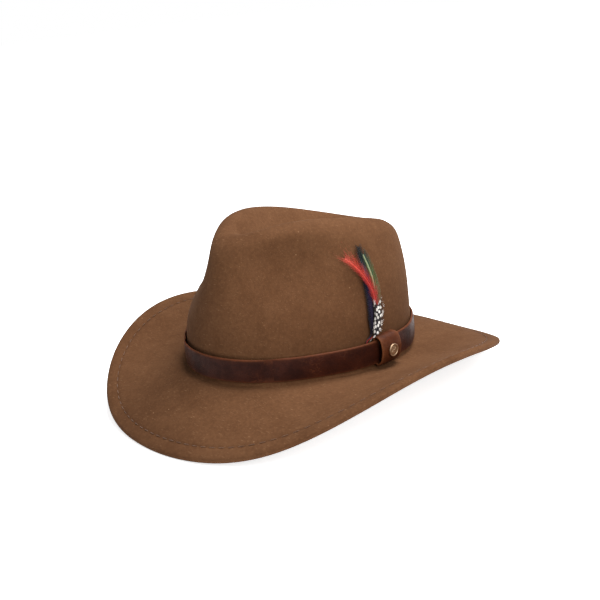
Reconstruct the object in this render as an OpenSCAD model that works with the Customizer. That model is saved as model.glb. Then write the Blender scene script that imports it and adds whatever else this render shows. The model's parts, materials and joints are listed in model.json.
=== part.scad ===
// Wool felt fedora with a teardrop crown, a leather band, a riveted keeper loop and a feather bunch.
// Millimetres. The hat rests on the front and the back of its brim. Front is -Y, the wearer's left is +X.
// Most shapes are rings round the head: angle t is 0 at the front, 90 at the wearer's left, 180 at the back.

/* [Head opening] */
// Half width of the crown at the brim break, outside the felt
head_half_width = 88.5; // [80:0.5:98]
// Half length of the crown at the brim break, outside the felt
head_half_length = 104.5; // [95:0.5:114]
// Narrowing of the head oval towards the front
head_egg = 0.05; // [0:0.01:0.1]
// Rise of the brim break at the sides of the head
break_rise = 1.8; // [0:0.1:4]

/* [Felt] */
// Thickness of the felt
felt_thick = 2; // [1.5:0.1:3]

/* [Brim] */
// Half width of the brim edge
brim_half_width = 159.6; // [150:0.2:170]
// Half length of the brim edge
brim_half_length = 171.7; // [160:0.1:185]
// Shift of the brim oval towards the back
brim_shift = 2.6; // [-5:0.1:8]
// Narrowing of the brim oval towards the front
brim_egg = 0.01; // [0:0.01:0.06]
// Squareness of the brim outline
brim_square = 0.016; // [0:0.002:0.03]
// Mean height of the brim edge above the break
edge_level = -5; // [-12:0.5:4]
// Droop of the front edge against the back edge
edge_front_droop = 6.4; // [0:0.2:12]
// Rise of the side edges against the front and back
edge_side_rise = 24.9; // [10:0.1:32]
// Third harmonic of the edge height
edge_wave_3 = -2.3; // [-5:0.1:5]
// Fourth harmonic of the edge height
edge_wave_4 = 2.5; // [-5:0.1:5]
// Fifth harmonic of the edge height
edge_wave_5 = 1; // [-2:0.1:2]
// Sixth harmonic of the edge height
edge_wave_6 = 0.8; // [-2:0.1:2]
// Lift of the brim half way out, at the front and back
brim_belly = 4.6; // [0:0.2:8]

/* [Brim edge] */
// Outer radius of the rolled edge
roll_r = 2.8; // [2.4:0.1:3.4]
// Radius of the channel that holds the wire
channel_r = 0.8; // [0.7:0.1:1.2]
// Radius of the brim wire
wire_r = 0.5; // [0.4:0.05:0.55]
// Gap between the brim and its folded flap
flap_gap = 0.3; // [0.2:0.1:0.6]

/* [Crown] */
// Height of the crown above the break
crown_h = 119; // [105:0.2:135]
// Loss of height from front to back
crown_slope = 10.7; // [0:0.1:20]
// Dip of the ridge at the very front
front_dip = 12.8; // [0:0.2:16]
// Dip of the ridge at the back
back_dip = 14.9; // [0:0.1:25]
// Taper of each side wall
side_taper = 22.8; // [8:0.2:26]
// Taper of the front wall
front_taper = 17.7; // [8:0.1:28]
// Taper of the back wall
back_taper = 8.9; // [3:0.1:18]
// Narrowing of the crown towards the front at the shoulder
shoulder_egg = 0.211; // [0.05:0.001:0.25]
// Narrowing of the teardrop ridge towards the front
ridge_egg = 0.34; // [0.1:0.01:0.4]
// Distance of the ridge inside the shoulder
ridge_in = 23.5; // [12:0.1:26]
// Depth of the teardrop dent
dent_depth = 20; // [10:0.5:28]

/* [Side pinch] */
// Angle of each pinch from the front
pinch_at = 44; // [35:1:60]
// Angular reach of each pinch towards the front
pinch_spread = 22; // [15:1:40]
// Reach towards the back, against the reach towards the front
pinch_back_reach = 1.42; // [1:0.02:2]
// Depth of each pinch
pinch_depth = 17.5; // [0:0.1:18]
// Height of the deepest place, as a share of the wall
pinch_level = 0.67; // [0.6:0.01:0.8]
// Outward swell of the wall below each pinch
pinch_swell = 2.8; // [0:0.1:5]

/* [Sweatband] */
// Height of the sweatband
sweat_h = 32; // [25:1:40]
// Thickness of the sweatband leather
sweat_thick = 0.8; // [0.6:0.1:1.2]
// Radius of the plastic reed in its lower fold
reed_r = 0.8; // [0.6:0.1:1.2]
// Number of stitches round the sweatband
sweat_stitches = 84; // [60:4:120]

/* [Lining] */
// Thickness of the satin lining
lining_thick = 0.6; // [0.4:0.1:0.8]
// Gap between the felt and the lining
lining_gap = 0.9; // [0.7:0.1:1.5]

/* [Leather band] */
// Height of the band's lower edge above the break
band_low = 3.9; // [3:0.1:6]
// Width of the band
band_w = 18.7; // [15:0.1:22]
// Thickness of the band leather
band_thick = 2; // [1.5:0.1:2.5]
// Gap between the felt and the band
band_gap = 0.4; // [0.3:0.1:0.8]
// Gap behind the band where the keeper and the quills pass
channel_gap = 3.2; // [3:0.1:3.6]
// Angle covered by the lapped ends at the back
lap_angle = 12; // [8:1:16]

/* [Keeper loop] */
// Angle of the middle of the keeper
keeper_at = 91; // [90:0.2:96]
// Width of the keeper along the band
keeper_w = 22; // [18:0.5:26]
// Thickness of the keeper leather
keeper_thick = 1.6; // [1.2:0.1:1.8]
// Bulge of the keeper's front wall off the band
keeper_bulge = 7; // [5:0.5:9]
// Reach of the keeper above the band
keeper_above = 3.6; // [3:0.2:5]
// Reach of the keeper below the band
keeper_below = 2.1; // [2:0.1:2.4]

/* [Rivet] */
// Radius of the rivet cap
rivet_r = 5.2; // [4:0.1:6]
// Height of the rivet cap
rivet_h = 1.4; // [1:0.1:2]
// Radius of the rivet post
post_r = 1.5; // [1.2:0.1:2]

/* [Feathers] */
// Angle of the middle quill where it enters the band
quills_at = 81.8; // [79:0.1:82]
// Lean of the feathers towards the back, in degrees of t for each millimetre of height
feather_lean = 0.03; // [0:0.005:0.04]
// Height of the longest feather's tip above the break
feather_tip = 99; // [80:1:105]

/* [Hidden] */

round_step = 4.5;                              // angle between the ribs of the felt and the band
felt_angles = [0:round_step:360 - round_step];
coarse_angles = [0:6:354];
tip_angles = [0:9:351];
felt_color = "saddlebrown";
strap_color = [0.2, 0.1, 0.07];

// Levels along a rib, in control points: 0 at the brim edge, 5 at the foot of the wall,
// 15 at the crown's centre.
crease_v = 1.12;                               // the stitched line of the folded edge
brim_levels = [0, 0.6, 0.85, crease_v, 1.5, 2, 2.5, 3, 3.5];
break_levels = [3.9, 4.3, 4.7, 5.1, 5.5];
wall_levels = [6, 6.6, 7.1, 7.6, 8, 8.4, 8.8, 9.2, 9.6];
top_levels = [9.9, 10.2, 10.6, 11, 11.5, 12, 12.6, 13.3, 14.1];
felt_levels = concat(brim_levels, break_levels, wall_levels, top_levels);
lining_levels = [6.6, 7.1, 7.6, 8, 8.4, 8.8, 9.2, 9.6, 9.9, 10.2];
tip_levels = [10.3, 10.7, 11.1, 11.6, 12.2, 13.1, 14.1];
centre_v = 15;

// ---------- vectors ----------
function unit(v) = v / norm(v);
function mix(p, q, w) = p * (1 - w) + q * w;
function flat(lists) = [for (l = lists, p = l) p];
function window(t, lo, hi, ramp) =
    let (inside = min(t - lo, hi - t), u = max(0, min(1, 1 + inside / ramp))) u * u * (3 - 2 * u);

// ---------- the felt's ribs ----------
// A point of an egg-shaped oval: half width a, half length l, centre moved back by shift.
function oval(a, l, shift, egg, t) = [a * sin(t) * (1 - egg * cos(t)), shift - l * cos(t)];
function break_z(t) = break_rise * pow(sin(t), 2);
function edge_z(t) = edge_level - edge_front_droop * cos(t) - edge_side_rise * cos(2 * t)
    + edge_wave_3 * cos(3 * t) + edge_wave_4 * cos(4 * t)
    + edge_wave_5 * cos(5 * t) + edge_wave_6 * cos(6 * t);
function ridge_z(t) = let (front = (1 + cos(t)) / 2, back = (1 - cos(t)) / 2)
    crown_h - crown_slope * back - front_dip * pow(front, 6) - back_dip * pow(back, 2.7);

function brim_point(t, w, z) =
    let (squared = 1 - brim_square * cos(4 * t),
         edge = oval(brim_half_width, brim_half_length, brim_shift, brim_egg, t) * squared,
         head = oval(head_half_width, head_half_length, 0, head_egg, t),
         p = mix(head, edge, w)) [p.x, p.y, z];
// A point of the crown's wall: share up of the height, share k of the taper.
function wall_control(t, up, k, egg) =
    let (f = head_half_length - front_taper * k, b = head_half_length - back_taper * k,
         p = oval(head_half_width - side_taper * k, (f + b) / 2, (b - f) / 2, egg, t))
    [p.x, p.y, mix(break_z(t), ridge_z(t), up)];
function top_control(t, inward, z, egg) =
    let (f = head_half_length - front_taper, b = head_half_length - back_taper,
         p = oval(head_half_width - side_taper - inward, (f + b) / 2 - inward, (b - f) / 2, egg, t))
    [p.x, p.y, z];

top_half_w = head_half_width - side_taper;
top_half_l = head_half_length - (front_taper + back_taper) / 2;
top_shift = (front_taper - back_taper) / 2;
dent_floor = crown_h - dent_depth;

function rib(t) = let (zb = break_z(t), ze = edge_z(t), zr = ridge_z(t), belly = brim_belly * cos(2 * t)) [
    brim_point(t, 1, ze),
    brim_point(t, 0.66, zb * 0.34 + ze * 0.66 + belly * 1.3),
    brim_point(t, 0.33, zb * 0.67 + ze * 0.33 + belly),
    brim_point(t, 0.14, zb + 0.3 + 0.6 * cos(2 * t)),
    brim_point(t, 0.02, zb - 0.3),
    wall_control(t, 0.02, 0, head_egg),
    wall_control(t, 0.12, 0.02, head_egg),
    wall_control(t, 0.35, 0.106, head_egg),
    wall_control(t, 0.65, 0.365, (head_egg + shoulder_egg) / 2),
    wall_control(t, 0.92, 0.846, shoulder_egg),
    top_control(t, 2, zr + 0.4, (shoulder_egg + ridge_egg) / 2),
    top_control(t, ridge_in, zr + 12.7, ridge_egg),
    top_control(t, ridge_in + 14, zr - dent_depth / 2, ridge_egg),
    top_control(t, top_half_w * 0.72, zr * 0.15 + (dent_floor - 4) * 0.85, ridge_egg),
    let (p = oval(top_half_w * 0.12, top_half_l * 0.25, top_shift + 8, 0, t)) [p.x, p.y, dent_floor - 2],
    [0, top_shift + 8, dent_floor - 2]
];

// A cubic B-spline through a rib's control points, clamped at both ends.
function on_spline(ctrl, v) =
    let (last = len(ctrl) - 1, x = v / last * (last + 2), i = min(floor(x), last + 1), u = x - i,
         p = [for (k = [0:3]) ctrl[max(0, min(last, i + k - 2))]])
    (pow(1 - u, 3) * p[0] + (3 * pow(u, 3) - 6 * u * u + 4) * p[1]
        + (3 * u * u - 3 * pow(u, 3) + 3 * u + 1) * p[2] + pow(u, 3) * p[3]) / 6;

// The two dished dents in the front of the crown, as a push towards the hat's middle.
function pinched(p, t, v) =
    let (side = abs((t + 180) % 360 - 180) - pinch_at,
         reach_t = pinch_spread * (side < 0 ? 1 : pinch_back_reach),
         level = (v - 5) / 5, w = level - pinch_level, reach_v = w < 0 ? 0.139 : 0.187,
         swell = pinch_swell * exp(-pow((side - 15) / 40, 2)) * exp(-pow((level - 0.42) / 0.2, 2)),
         depth = pinch_depth * exp(-pow(side / reach_t, 2)) * exp(-pow(w / reach_v, 2)) - swell,
         arm = [p.x, p.y - 10], reach = norm(arm) + 0.001,
         push = arm / reach * depth * min(reach / 30, 1))
    [p.x - push.x, p.y - push.y, p.z];
function felt_point(ctrl, t, v) = pinched(on_spline(ctrl, v), t, v);

// The surface's outward normal, from four neighbouring points.
function felt_normal(t, v) =
    let (dv = 0.05, dt = 0.5, v0 = v < 0.6 ? 0.3 : v - dv, v1 = v < 0.6 ? 0.8 : v + dv, here = rib(t),
         vt = max(v, 0.01),
         across = felt_point(rib(t + dt), t + dt, vt) - felt_point(rib(t - dt), t - dt, vt),
         up = felt_point(here, t, v1) - felt_point(here, t, v0))
    unit(cross(across, up));

// A ring of points on the felt at level v, sunk by depth below the top surface.
function felt_ring(angles, v, depth) =
    [for (t = angles) felt_point(rib(t), t, v) - (depth == 0 ? [0, 0, 0] : felt_normal(t, v) * depth)];

// ---------- meshes swept round the head ----------
// Faces between neighbouring rings of n points. Rings run so that their outside is the mesh's outside.
function ring_faces(first, rings, n, closed) =
    [for (r = [0:rings - 2], k = [0:closed ? n - 1 : n - 2], half = [0, 1])
        let (a = first + r * n + k, b = first + r * n + (k + 1) % n)
        half == 0 ? [a, b, a + n] : [b, b + n, a + n]];

// A skin with a pole: rings from the rim to the centre on top, and back out underneath.
module capped_skin(angles, levels, top_depth, low_depth, rim_rings) {
    n = len([for (t = angles) t]);
    top = [for (i = [len(levels) - 1:-1:0]) felt_ring(angles, levels[i], top_depth)];
    low = [for (v = levels) felt_ring(angles, v, low_depth)];
    rings = concat(top, rim_rings, low);
    centre = on_spline(rib(0), centre_v);
    points = concat([centre - [0, 0, top_depth]], flat(rings), [centre - [0, 0, low_depth]]);
    last = len(points) - 1;
    faces = concat(
        [for (k = [0:n - 1]) [0, 1 + (k + 1) % n, 1 + k]],
        ring_faces(1, len(rings), n, true),
        [for (k = [0:n - 1]) [last, last - n + k, last - n + (k + 1) % n]]);
    polyhedron(points, faces, convexity = 10);
}

// A closed band: sections[i] is the ring of points at one corner of its cross-section, listed clockwise.
module swept_ring(sections) {
    n = len(sections[0]);
    points = flat(concat(sections, [sections[0]]));
    polyhedron(points, ring_faces(0, len(sections) + 1, n, true), convexity = 10);
}

// An open strip: stations[i] is the list of corners of one cross-section along the strip.
module swept_strip(stations) {
    n = len(stations[0]);
    count = len(stations);
    points = flat(stations);
    cap_0 = [for (k = [1:n - 2]) [0, k + 1, k]];
    cap_1 = [for (k = [1:n - 2]) let (f = (count - 1) * n) [f, f + k, f + k + 1]];
    polyhedron(points, concat(ring_faces(0, count, n, true), cap_0, cap_1), convexity = 10);
}

// ---------- places on the crown's wall ----------
function rise_to(ctrl, z, lo, hi, tries) =
    let (mid = (lo + hi) / 2)
    tries == 0 ? mid
    : on_spline(ctrl, mid).z < z ? rise_to(ctrl, z, mid, hi, tries - 1)
    : rise_to(ctrl, z, lo, mid, tries - 1);
function head_normal(t) = unit([head_half_length * sin(t), -head_half_width * cos(t), 0]);
// The point of the wall at height h above the break, moved out by off.
function wall_point(t, h, off) =
    let (ctrl = rib(t), v = rise_to(ctrl, break_z(t) + h, 4.2, 9.6, 14))
    felt_point(ctrl, t, v) + head_normal(t) * off;
// The same below the top of the wall's foot, where the surface flares: the wall is continued straight down.
function inner_point(t, h, inset) =
    h > 9 ? wall_point(t, h, -inset)
    : let (p = wall_point(t, 9, -inset)) [p.x, p.y, break_z(t) + h];

// ---------- resting place ----------
// The brim roll's centre line.
function roll_centre(t) = felt_point(rib(t), t, 0) - felt_normal(t, 0) * roll_r;
roll_front = roll_centre(0);
roll_back = roll_centre(180);
rest_pitch = -atan2(roll_back.z - roll_front.z, roll_back.y - roll_front.y);
function tilted(p) = [p.x, p.y * cos(rest_pitch) - p.z * sin(rest_pitch),
    p.y * sin(rest_pitch) + p.z * cos(rest_pitch)];
rest_shift = [0, -(tilted(roll_front).y + tilted(roll_back).y) / 2, roll_r - tilted(roll_front).z];
module at_rest() {
    translate(rest_shift) rotate([rest_pitch, 0, 0]) children();
}

// ---------- felt ----------
// The rolled edge: round the wire channel and back under the brim to the stitched line.
function roll_point(t, r, angle) =
    let (n = felt_normal(t, 0), side = unit(cross(n, [-cos(t), -sin(t), 0])),
         out = unit(head_normal(t) - n * (head_normal(t) * n)))
    roll_centre(t) + (n * sin(angle) + out * cos(angle)) * r;
flap_levels = [0.6, 0.85, crease_v];
flap_top = felt_thick + flap_gap;
flap_drop = [0.9, 0.35, 0];                    // extra depth of the flap near the wire channel

module felt_body() {
    roll = [for (angle = [60:-30:-90]) [for (t = felt_angles) roll_point(t, roll_r, angle)]];
    flap_under = [for (i = [0:2])
        felt_ring(felt_angles, flap_levels[i], flap_top + felt_thick + flap_drop[i])];
    flap_over = [for (i = [2:-1:0]) felt_ring(felt_angles, flap_levels[i], flap_top + flap_drop[i])];
    channel = [for (angle = [-90:45:45]) [for (t = felt_angles) roll_point(t, channel_r, angle)]];
    color(felt_color) at_rest()
        capped_skin(felt_angles, felt_levels, 0, felt_thick, concat(roll, flap_under, flap_over, channel));
}

module brim_wire() {
    color("silver") at_rest()
        swept_ring([for (angle = [180:-60:-120]) [for (t = felt_angles) roll_point(t, wire_r, angle)]]);
}

// A crimped tube over the wire's two ends, at the back.
module wire_joiner() {
    c = roll_centre(180);
    color("gold") at_rest() translate(c) rotate([0, 90, 0]) difference() {
        cylinder(r = channel_r - 0.14, h = 7, center = true, $fn = 32);
        cylinder(r = wire_r + 0.04, h = 8, center = true, $fn = 32);
    }
}

// A short thread across the surface: a flat bar turned to run along dir, with its flat side facing normal.
module stitch(at, dir, normal, size) {
    x = unit(dir);
    z = unit(normal - x * (normal * x));
    y = cross(z, x);
    multmatrix([[x.x, y.x, z.x, at.x], [x.y, y.y, z.y, at.y], [x.z, y.z, z.z, at.z], [0, 0, 0, 1]])
        cube(size, center = true);
}

brim_stitch_step = 3;
module brim_stitching() {
    color("sienna") at_rest() for (t = [brim_stitch_step / 2:brim_stitch_step:360]) {
        p = felt_point(rib(t), t, crease_v);
        q = felt_point(rib(t + 1), t + 1, crease_v);
        stitch(p, q - p, felt_normal(t, crease_v), [5.4, 0.5, 0.4]);
    }
}

// ---------- sweatband ----------
// Inset of the reed's centre from the outside of the felt, and its height above the break.
reed_in = felt_thick + reed_r + sweat_thick + 0.5;
reed_h = -1.5;
fold_in_r = reed_r + 0.1;
fold_out_r = fold_in_r + sweat_thick;
lining_out = felt_thick + lining_gap;
lining_in = lining_out + lining_thick;
sweat_top_in = lining_in + 1.4;

// The leather's section: up the head side, round the reed and a little way up behind it.
function sweat_section(t) = [
    inner_point(t, sweat_h, sweat_top_in + sweat_thick),
    inner_point(t, reed_h, reed_in + fold_out_r),
    inner_point(t, reed_h - fold_out_r * 0.7, reed_in + fold_out_r * 0.7),
    inner_point(t, reed_h - fold_out_r, reed_in),
    inner_point(t, reed_h - fold_out_r * 0.7, reed_in - fold_out_r * 0.7),
    inner_point(t, reed_h, reed_in - fold_out_r),
    inner_point(t, reed_h + 3, reed_in - fold_out_r + 0.1),
    inner_point(t, reed_h + 3, reed_in - fold_in_r + 0.1),
    inner_point(t, reed_h, reed_in - fold_in_r),
    inner_point(t, reed_h - fold_in_r * 0.7, reed_in - fold_in_r * 0.7),
    inner_point(t, reed_h - fold_in_r, reed_in),
    inner_point(t, reed_h - fold_in_r * 0.7, reed_in + fold_in_r * 0.7),
    inner_point(t, reed_h, reed_in + fold_in_r),
    inner_point(t, sweat_h, sweat_top_in)
];

module sweatband() {
    butt_gap = 0.6;
    color("peru") at_rest()
        swept_strip([for (i = [0:60]) sweat_section(180 + butt_gap + i * (360 - 2 * butt_gap) / 60)]);
}

module sweatband_reed() {
    color("ivory") at_rest() swept_ring([for (a = [0:60:300])
        [for (t = coarse_angles) inner_point(t, reed_h + reed_r * sin(a), reed_in + reed_r * cos(a))]]);
}

// The cloth tape that the sweatband hangs from.
module sweatband_tape() {
    color("tan") at_rest() swept_ring([for (c = [[11, 0.7], [11, 0.35], [3, 0.35], [3, 0.7]])
        [for (t = coarse_angles) inner_point(t, c[0], felt_thick + c[1])]]);
}

module sweatband_stitching() {
    h = 2.6;
    color("wheat") at_rest() for (i = [0:sweat_stitches - 1]) {
        t = (i + 0.5) * 360 / sweat_stitches;
        inset = mix(reed_in + fold_out_r, sweat_top_in + sweat_thick, (h - reed_h) / (sweat_h - reed_h));
        p = inner_point(t, h, inset + 0.1);
        q = inner_point(t + 1, h, inset + 0.1);
        stitch(p, q - p, -head_normal(t), [3.4, 0.5, 0.4]);
    }
}

// A small flat ribbon bow over the sweatband's joint at the back: a knot and two loops.
module sweatband_bow() {
    p = inner_point(180, 8, mix(reed_in + fold_out_r, sweat_top_in + sweat_thick, 0.3) + 0.8);
    color("dimgray") at_rest() translate(p) rotate([90, 0, 0]) union() {
        translate([0, 0, -0.7]) cylinder(r = 1.9, h = 2.6, $fn = 32);
        for (side = [-1, 1]) linear_extrude(height = 1.2) polygon([[side, 0.8], [side * 8, 3],
            [side * 9, 2.2], [side * 9, -2.2], [side * 8, -3], [side, -0.8]]);
    }
}

// A cloth size tab between the sweatband and the lining, at the back.
module size_tab() {
    t = 192;
    inset = lining_in + 0.75;
    p = inner_point(t, 25, inset);
    across = inner_point(t + 3, 25, inset) - inner_point(t - 3, 25, inset);
    up = inner_point(t, 30, inset) - inner_point(t, 20, inset);
    color("white") at_rest() stitch(p, across, cross(across, up), [12, 12, 0.2]);
}

// ---------- lining ----------
module lining_side() {
    outer = [for (i = [len(lining_levels) - 1:-1:0]) felt_ring(felt_angles, lining_levels[i], lining_out)];
    inner = [for (v = lining_levels) felt_ring(felt_angles, v, lining_in)];
    color("darkgoldenrod") at_rest() swept_ring(concat(outer, inner));
}

module lining_tip() {
    color("goldenrod") at_rest() capped_skin(tip_angles, tip_levels, lining_out, lining_in, []);
}

// ---------- leather band ----------
keeper_half = keeper_w / 2 / 118 * 180 / PI;   // half the keeper's width as an angle
keeper_slide = 9.5;                            // travel of the keeper round the band, in degrees
function strap_gap(t) = band_gap + (channel_gap - band_gap)
    * window(t > 360 ? t - 360 : t, quills_at - 4, keeper_at + keeper_half + keeper_slide + 3, 20);
lap_start = 180 - lap_angle / 2;
// The far end climbs over the near end.
lap_climb_at = 344;
lap_climb = 14;
lap_gap = 0.15;
function lap_offset(t) =
    let (u = max(0, min(1, (t - lap_start - lap_climb_at) / lap_climb)))
    (band_thick + lap_gap) * u * u * (3 - 2 * u);

function strap_section(t) = let (g = strap_gap(t) + lap_offset(t), top = band_low + band_w, soft = 0.4) [
    wall_point(t, top, g),
    wall_point(t, band_low, g),
    wall_point(t, band_low, g + band_thick - soft),
    wall_point(t, band_low + soft, g + band_thick),
    wall_point(t, top - soft, g + band_thick),
    wall_point(t, top, g + band_thick - soft)
];
module hat_band() {
    stations = [for (t = [lap_start:round_step:lap_start + 360 + lap_angle]) strap_section(t)];
    color(strap_color) at_rest() swept_strip(stations);
}

module band_stitching() {
    t = lap_start + 360 + lap_angle - 2.4;
    color("sienna") at_rest() for (i = [0:4], side = [0, 1]) {
        a = t - side * 6;
        h = band_low + 3.1 + i * 3.1;
        p = wall_point(a, h, strap_gap(a) + lap_offset(a) + band_thick + 0.05);
        stitch(p, [0, 0, 1], head_normal(a), [2.2, 0.6, 0.4]);
    }
}

// ---------- keeper loop ----------
// The keeper turns about the centre of the circle through three points of the wall.
keeper_h = band_low + band_w / 2;
function circle_centre(p, q, r) =
    let (a = q - p, b = r - p, d = 2 * (a.x * b.y - a.y * b.x),
         aa = a.x * a.x + a.y * a.y, bb = b.x * b.x + b.y * b.y)
    [p.x + (b.y * aa - a.y * bb) / d, p.y + (a.x * bb - b.x * aa) / d];
hub_a = wall_point(keeper_at - keeper_half, keeper_h, 0);
hub_b = wall_point(keeper_at + keeper_slide / 2, keeper_h, 0);
hub_c = wall_point(keeper_at + keeper_half + keeper_slide, keeper_h, 0);
hub = circle_centre(hub_a, hub_b, hub_c);
wall_r = norm([hub_a.x - hub.x, hub_a.y - hub.y]);
keeper_mid = wall_point(keeper_at, keeper_h, 0);
keeper_dir = atan2(keeper_mid.y - hub.y, keeper_mid.x - hub.x);
keeper_turn = keeper_w / (wall_r + channel_gap) * 180 / PI;
keeper_z = break_z(keeper_at);
keeper_back_r = wall_r + 0.8;
keeper_low = keeper_z + band_low - keeper_below;
keeper_top = keeper_z + band_low + band_w + keeper_above;
// The D-shaped section: an upright back wall, a lower end that clears the crown's foot,
// and a front wall that bulges.
front_r = wall_r + channel_gap + band_thick;
heel_out = 4;
heel_in = 1;
function bulge(u, depth) = 0.45 + (depth - 0.45) * pow(sin(180 * u), 0.7);
module keeper_profile(inset, heel) {
    steps = 20;
    lo = keeper_low + inset;
    hi = keeper_top - inset;
    back = keeper_back_r + inset;
    polygon(concat([[back, hi], [back, lo + heel], [back + heel * 0.45, lo]],
        [for (i = [0:steps]) [front_r + bulge(i / steps, keeper_bulge - inset), mix(lo, hi, i / steps)]]));
}
function rivet_face_r() = front_r + keeper_bulge;
module rivet_frame() {
    at_rest() translate([hub.x, hub.y, (keeper_low + keeper_top) / 2]) rotate([0, 0, keeper_dir])
        translate([rivet_face_r(), 0, 0]) rotate([0, 90, 0]) children();
}
module keeper_loop() {
    color("sienna") difference() {
        at_rest() translate([hub.x, hub.y, 0]) rotate([0, 0, keeper_dir - keeper_turn / 2])
            rotate_extrude(angle = keeper_turn, $fn = 96) difference() {
                keeper_profile(0, heel_out);
                keeper_profile(keeper_thick, heel_in);
            }
        rivet_frame() translate([0, 0, -4]) cylinder(r = post_r + 0.02, h = 8, $fn = 32);
    }
}

module rivet_cap() {
    color("darkkhaki") rivet_frame() rotate_extrude($fn = 64) polygon([[0, 0.05], [rivet_r - 0.4, 0.05],
        [rivet_r, 0.45], [rivet_r, rivet_h - 0.3], [rivet_r - 0.3, rivet_h], [rivet_r - 0.9, rivet_h],
        [rivet_r - 1.2, rivet_h - 0.35], [1.8, rivet_h - 0.25], [1.5, rivet_h], [0, rivet_h]]);
}
module rivet_post() {
    length = keeper_thick + 1.1;
    color("darkkhaki") rivet_frame() translate([0, 0, -length]) cylinder(r = post_r, h = length, $fn = 32);
}
module rivet_burr() {
    color("darkkhaki") rivet_frame() translate([0, 0, -keeper_thick - 0.9]) difference() {
        cylinder(r = 3.2, h = 0.6, $fn = 48);
        translate([0, 0, -1]) cylinder(r = post_r + 0.02, h = 3, $fn = 32);
    }
}

// ---------- feathers ----------
quill_low = 5;
quill_pitch = 0.9;
stem_off = channel_gap / 2;
// The bundle's straight axis: up the lower wall, leaning back a little.
stem_foot = wall_point(quills_at, quill_low, stem_off);
stem_head = wall_point(quills_at + feather_lean * 26, quill_low + 26, stem_off);
stem_axis = unit(stem_head - stem_foot);
stem_out = unit(head_normal(quills_at) - stem_axis * (head_normal(quills_at) * stem_axis));
stem_side = cross(stem_axis, stem_out);

// A feather is a thin flat strip: a quill behind the band, then a blade that follows the wall in layer off.
// lateral is the quill's place across the bundle, fan the blade tip's drift, root the height
// where the blade starts.
function blade_width(u) = pow(sin(180 * pow(u, 0.8)), 0.6);
function feather_station(h, off, lateral, half_w, half_t) =
    let (out_of_band = max(0, min(1, (h - 24) / 4)) * (off - stem_off),
         straight = stem_foot + stem_axis * (h - quill_low) + stem_out * out_of_band,
         follow = wall_point(quills_at + feather_lean * (h - quill_low), h, off),
         c = mix(straight, follow, window(h, 36, 200, 8)) + stem_side * lateral)
    [c + stem_side * half_w + stem_out * half_t, c - stem_side * half_w + stem_out * half_t,
     c - stem_side * half_w - stem_out * half_t, c + stem_side * half_w - stem_out * half_t];
module feather(tint, place, off, root, tip, width, fan) {
    count = 12;
    lateral = place * quill_pitch;
    quill = [for (h = [quill_low, 24, 26]) feather_station(h, off, lateral, 0.35, 0.3)];
    blade = [for (i = [0:count]) let (u = i / count)
        feather_station(mix(root, tip, u), off, lateral + fan * u, 0.35 + width / 2 * blade_width(u), 0.3)];
    color(tint) at_rest() swept_strip(concat(quill, blade));
}
module black_feather() feather("black", -0.5, 2.75, 30, feather_tip, 8, 5);
module green_feather() feather("darkolivegreen", 0.5, 3.5, 30, feather_tip - 8, 8, 10);
module olive_feather() feather("olivedrab", 1.5, 1.95, 30, 78, 4, 13);
module red_hackle() feather("crimson", -1.5, 4.4, 32, 92, 12, -4);
module guinea_feather() feather("gainsboro", 2.5, 5.3, 28, 57, 12, 4);
module dark_feather() feather("midnightblue", -2.5, 1.95, 29, 66, 6, -1);

// Thread wound round the quills: a flat ring behind the band.
binding_w = 3.3;
module quill_binding() {
    corners = [[binding_w, 1], [binding_w - 0.6, 1.1], [0.6 - binding_w, 1.1], [-binding_w, 1],
        [-binding_w, -1], [0.6 - binding_w, -1.1], [binding_w - 0.6, -1.1], [binding_w, -1]];
    color("maroon") at_rest() difference() {
        swept_strip([for (h = [10, 15]) [for (c = corners)
            stem_foot + stem_axis * (h - quill_low) + stem_side * c[0] + stem_out * c[1]]]);
        for (k = [-2.5:1:2.5])
            swept_strip([for (h = [8, 17]) feather_station(h, stem_off, k * quill_pitch, 0.37, 0.32)]);
    }
}

felt_body();
brim_wire();
wire_joiner();
brim_stitching();
sweatband();
sweatband_reed();
sweatband_tape();
sweatband_stitching();
sweatband_bow();
size_tab();
lining_side();
lining_tip();
hat_band();
band_stitching();
keeper_loop();
rivet_cap();
rivet_post();
rivet_burr();
black_feather();
green_feather();
olive_feather();
red_hackle();
guinea_feather();
dark_feather();
quill_binding();
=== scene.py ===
"""A brown wool felt fedora with a leather band, a riveted keeper loop and a bunch of feathers.

Everything is in metres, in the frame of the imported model: the wearer's left is +X, the front is -Y.
"""

import json
import logging
import math
import random
from dataclasses import dataclass
from enum import Enum

import bmesh
import bpy
from mathutils import Matrix, Vector
from mathutils.bvhtree import BVHTree
from mathutils.kdtree import KDTree
from mathutils.noise import noise_vector, seed_set


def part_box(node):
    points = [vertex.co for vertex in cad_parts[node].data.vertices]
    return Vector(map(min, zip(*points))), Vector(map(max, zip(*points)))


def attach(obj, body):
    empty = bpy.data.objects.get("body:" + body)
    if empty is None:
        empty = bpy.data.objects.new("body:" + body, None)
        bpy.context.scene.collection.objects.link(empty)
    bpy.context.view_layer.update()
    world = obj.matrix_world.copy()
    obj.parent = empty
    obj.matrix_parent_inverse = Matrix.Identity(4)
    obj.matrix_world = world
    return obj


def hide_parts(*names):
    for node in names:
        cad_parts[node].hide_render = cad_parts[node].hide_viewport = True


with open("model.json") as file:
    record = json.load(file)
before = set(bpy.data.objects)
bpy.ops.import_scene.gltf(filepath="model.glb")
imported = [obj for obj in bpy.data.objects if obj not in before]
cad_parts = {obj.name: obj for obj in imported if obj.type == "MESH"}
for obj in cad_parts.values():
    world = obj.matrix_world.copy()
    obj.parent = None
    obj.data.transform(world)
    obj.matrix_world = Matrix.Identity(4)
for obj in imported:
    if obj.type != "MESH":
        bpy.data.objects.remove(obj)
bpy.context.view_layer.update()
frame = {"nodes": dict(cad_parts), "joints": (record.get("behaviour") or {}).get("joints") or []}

LOG = logging.getLogger("fedora")
MM = 0.001
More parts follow.
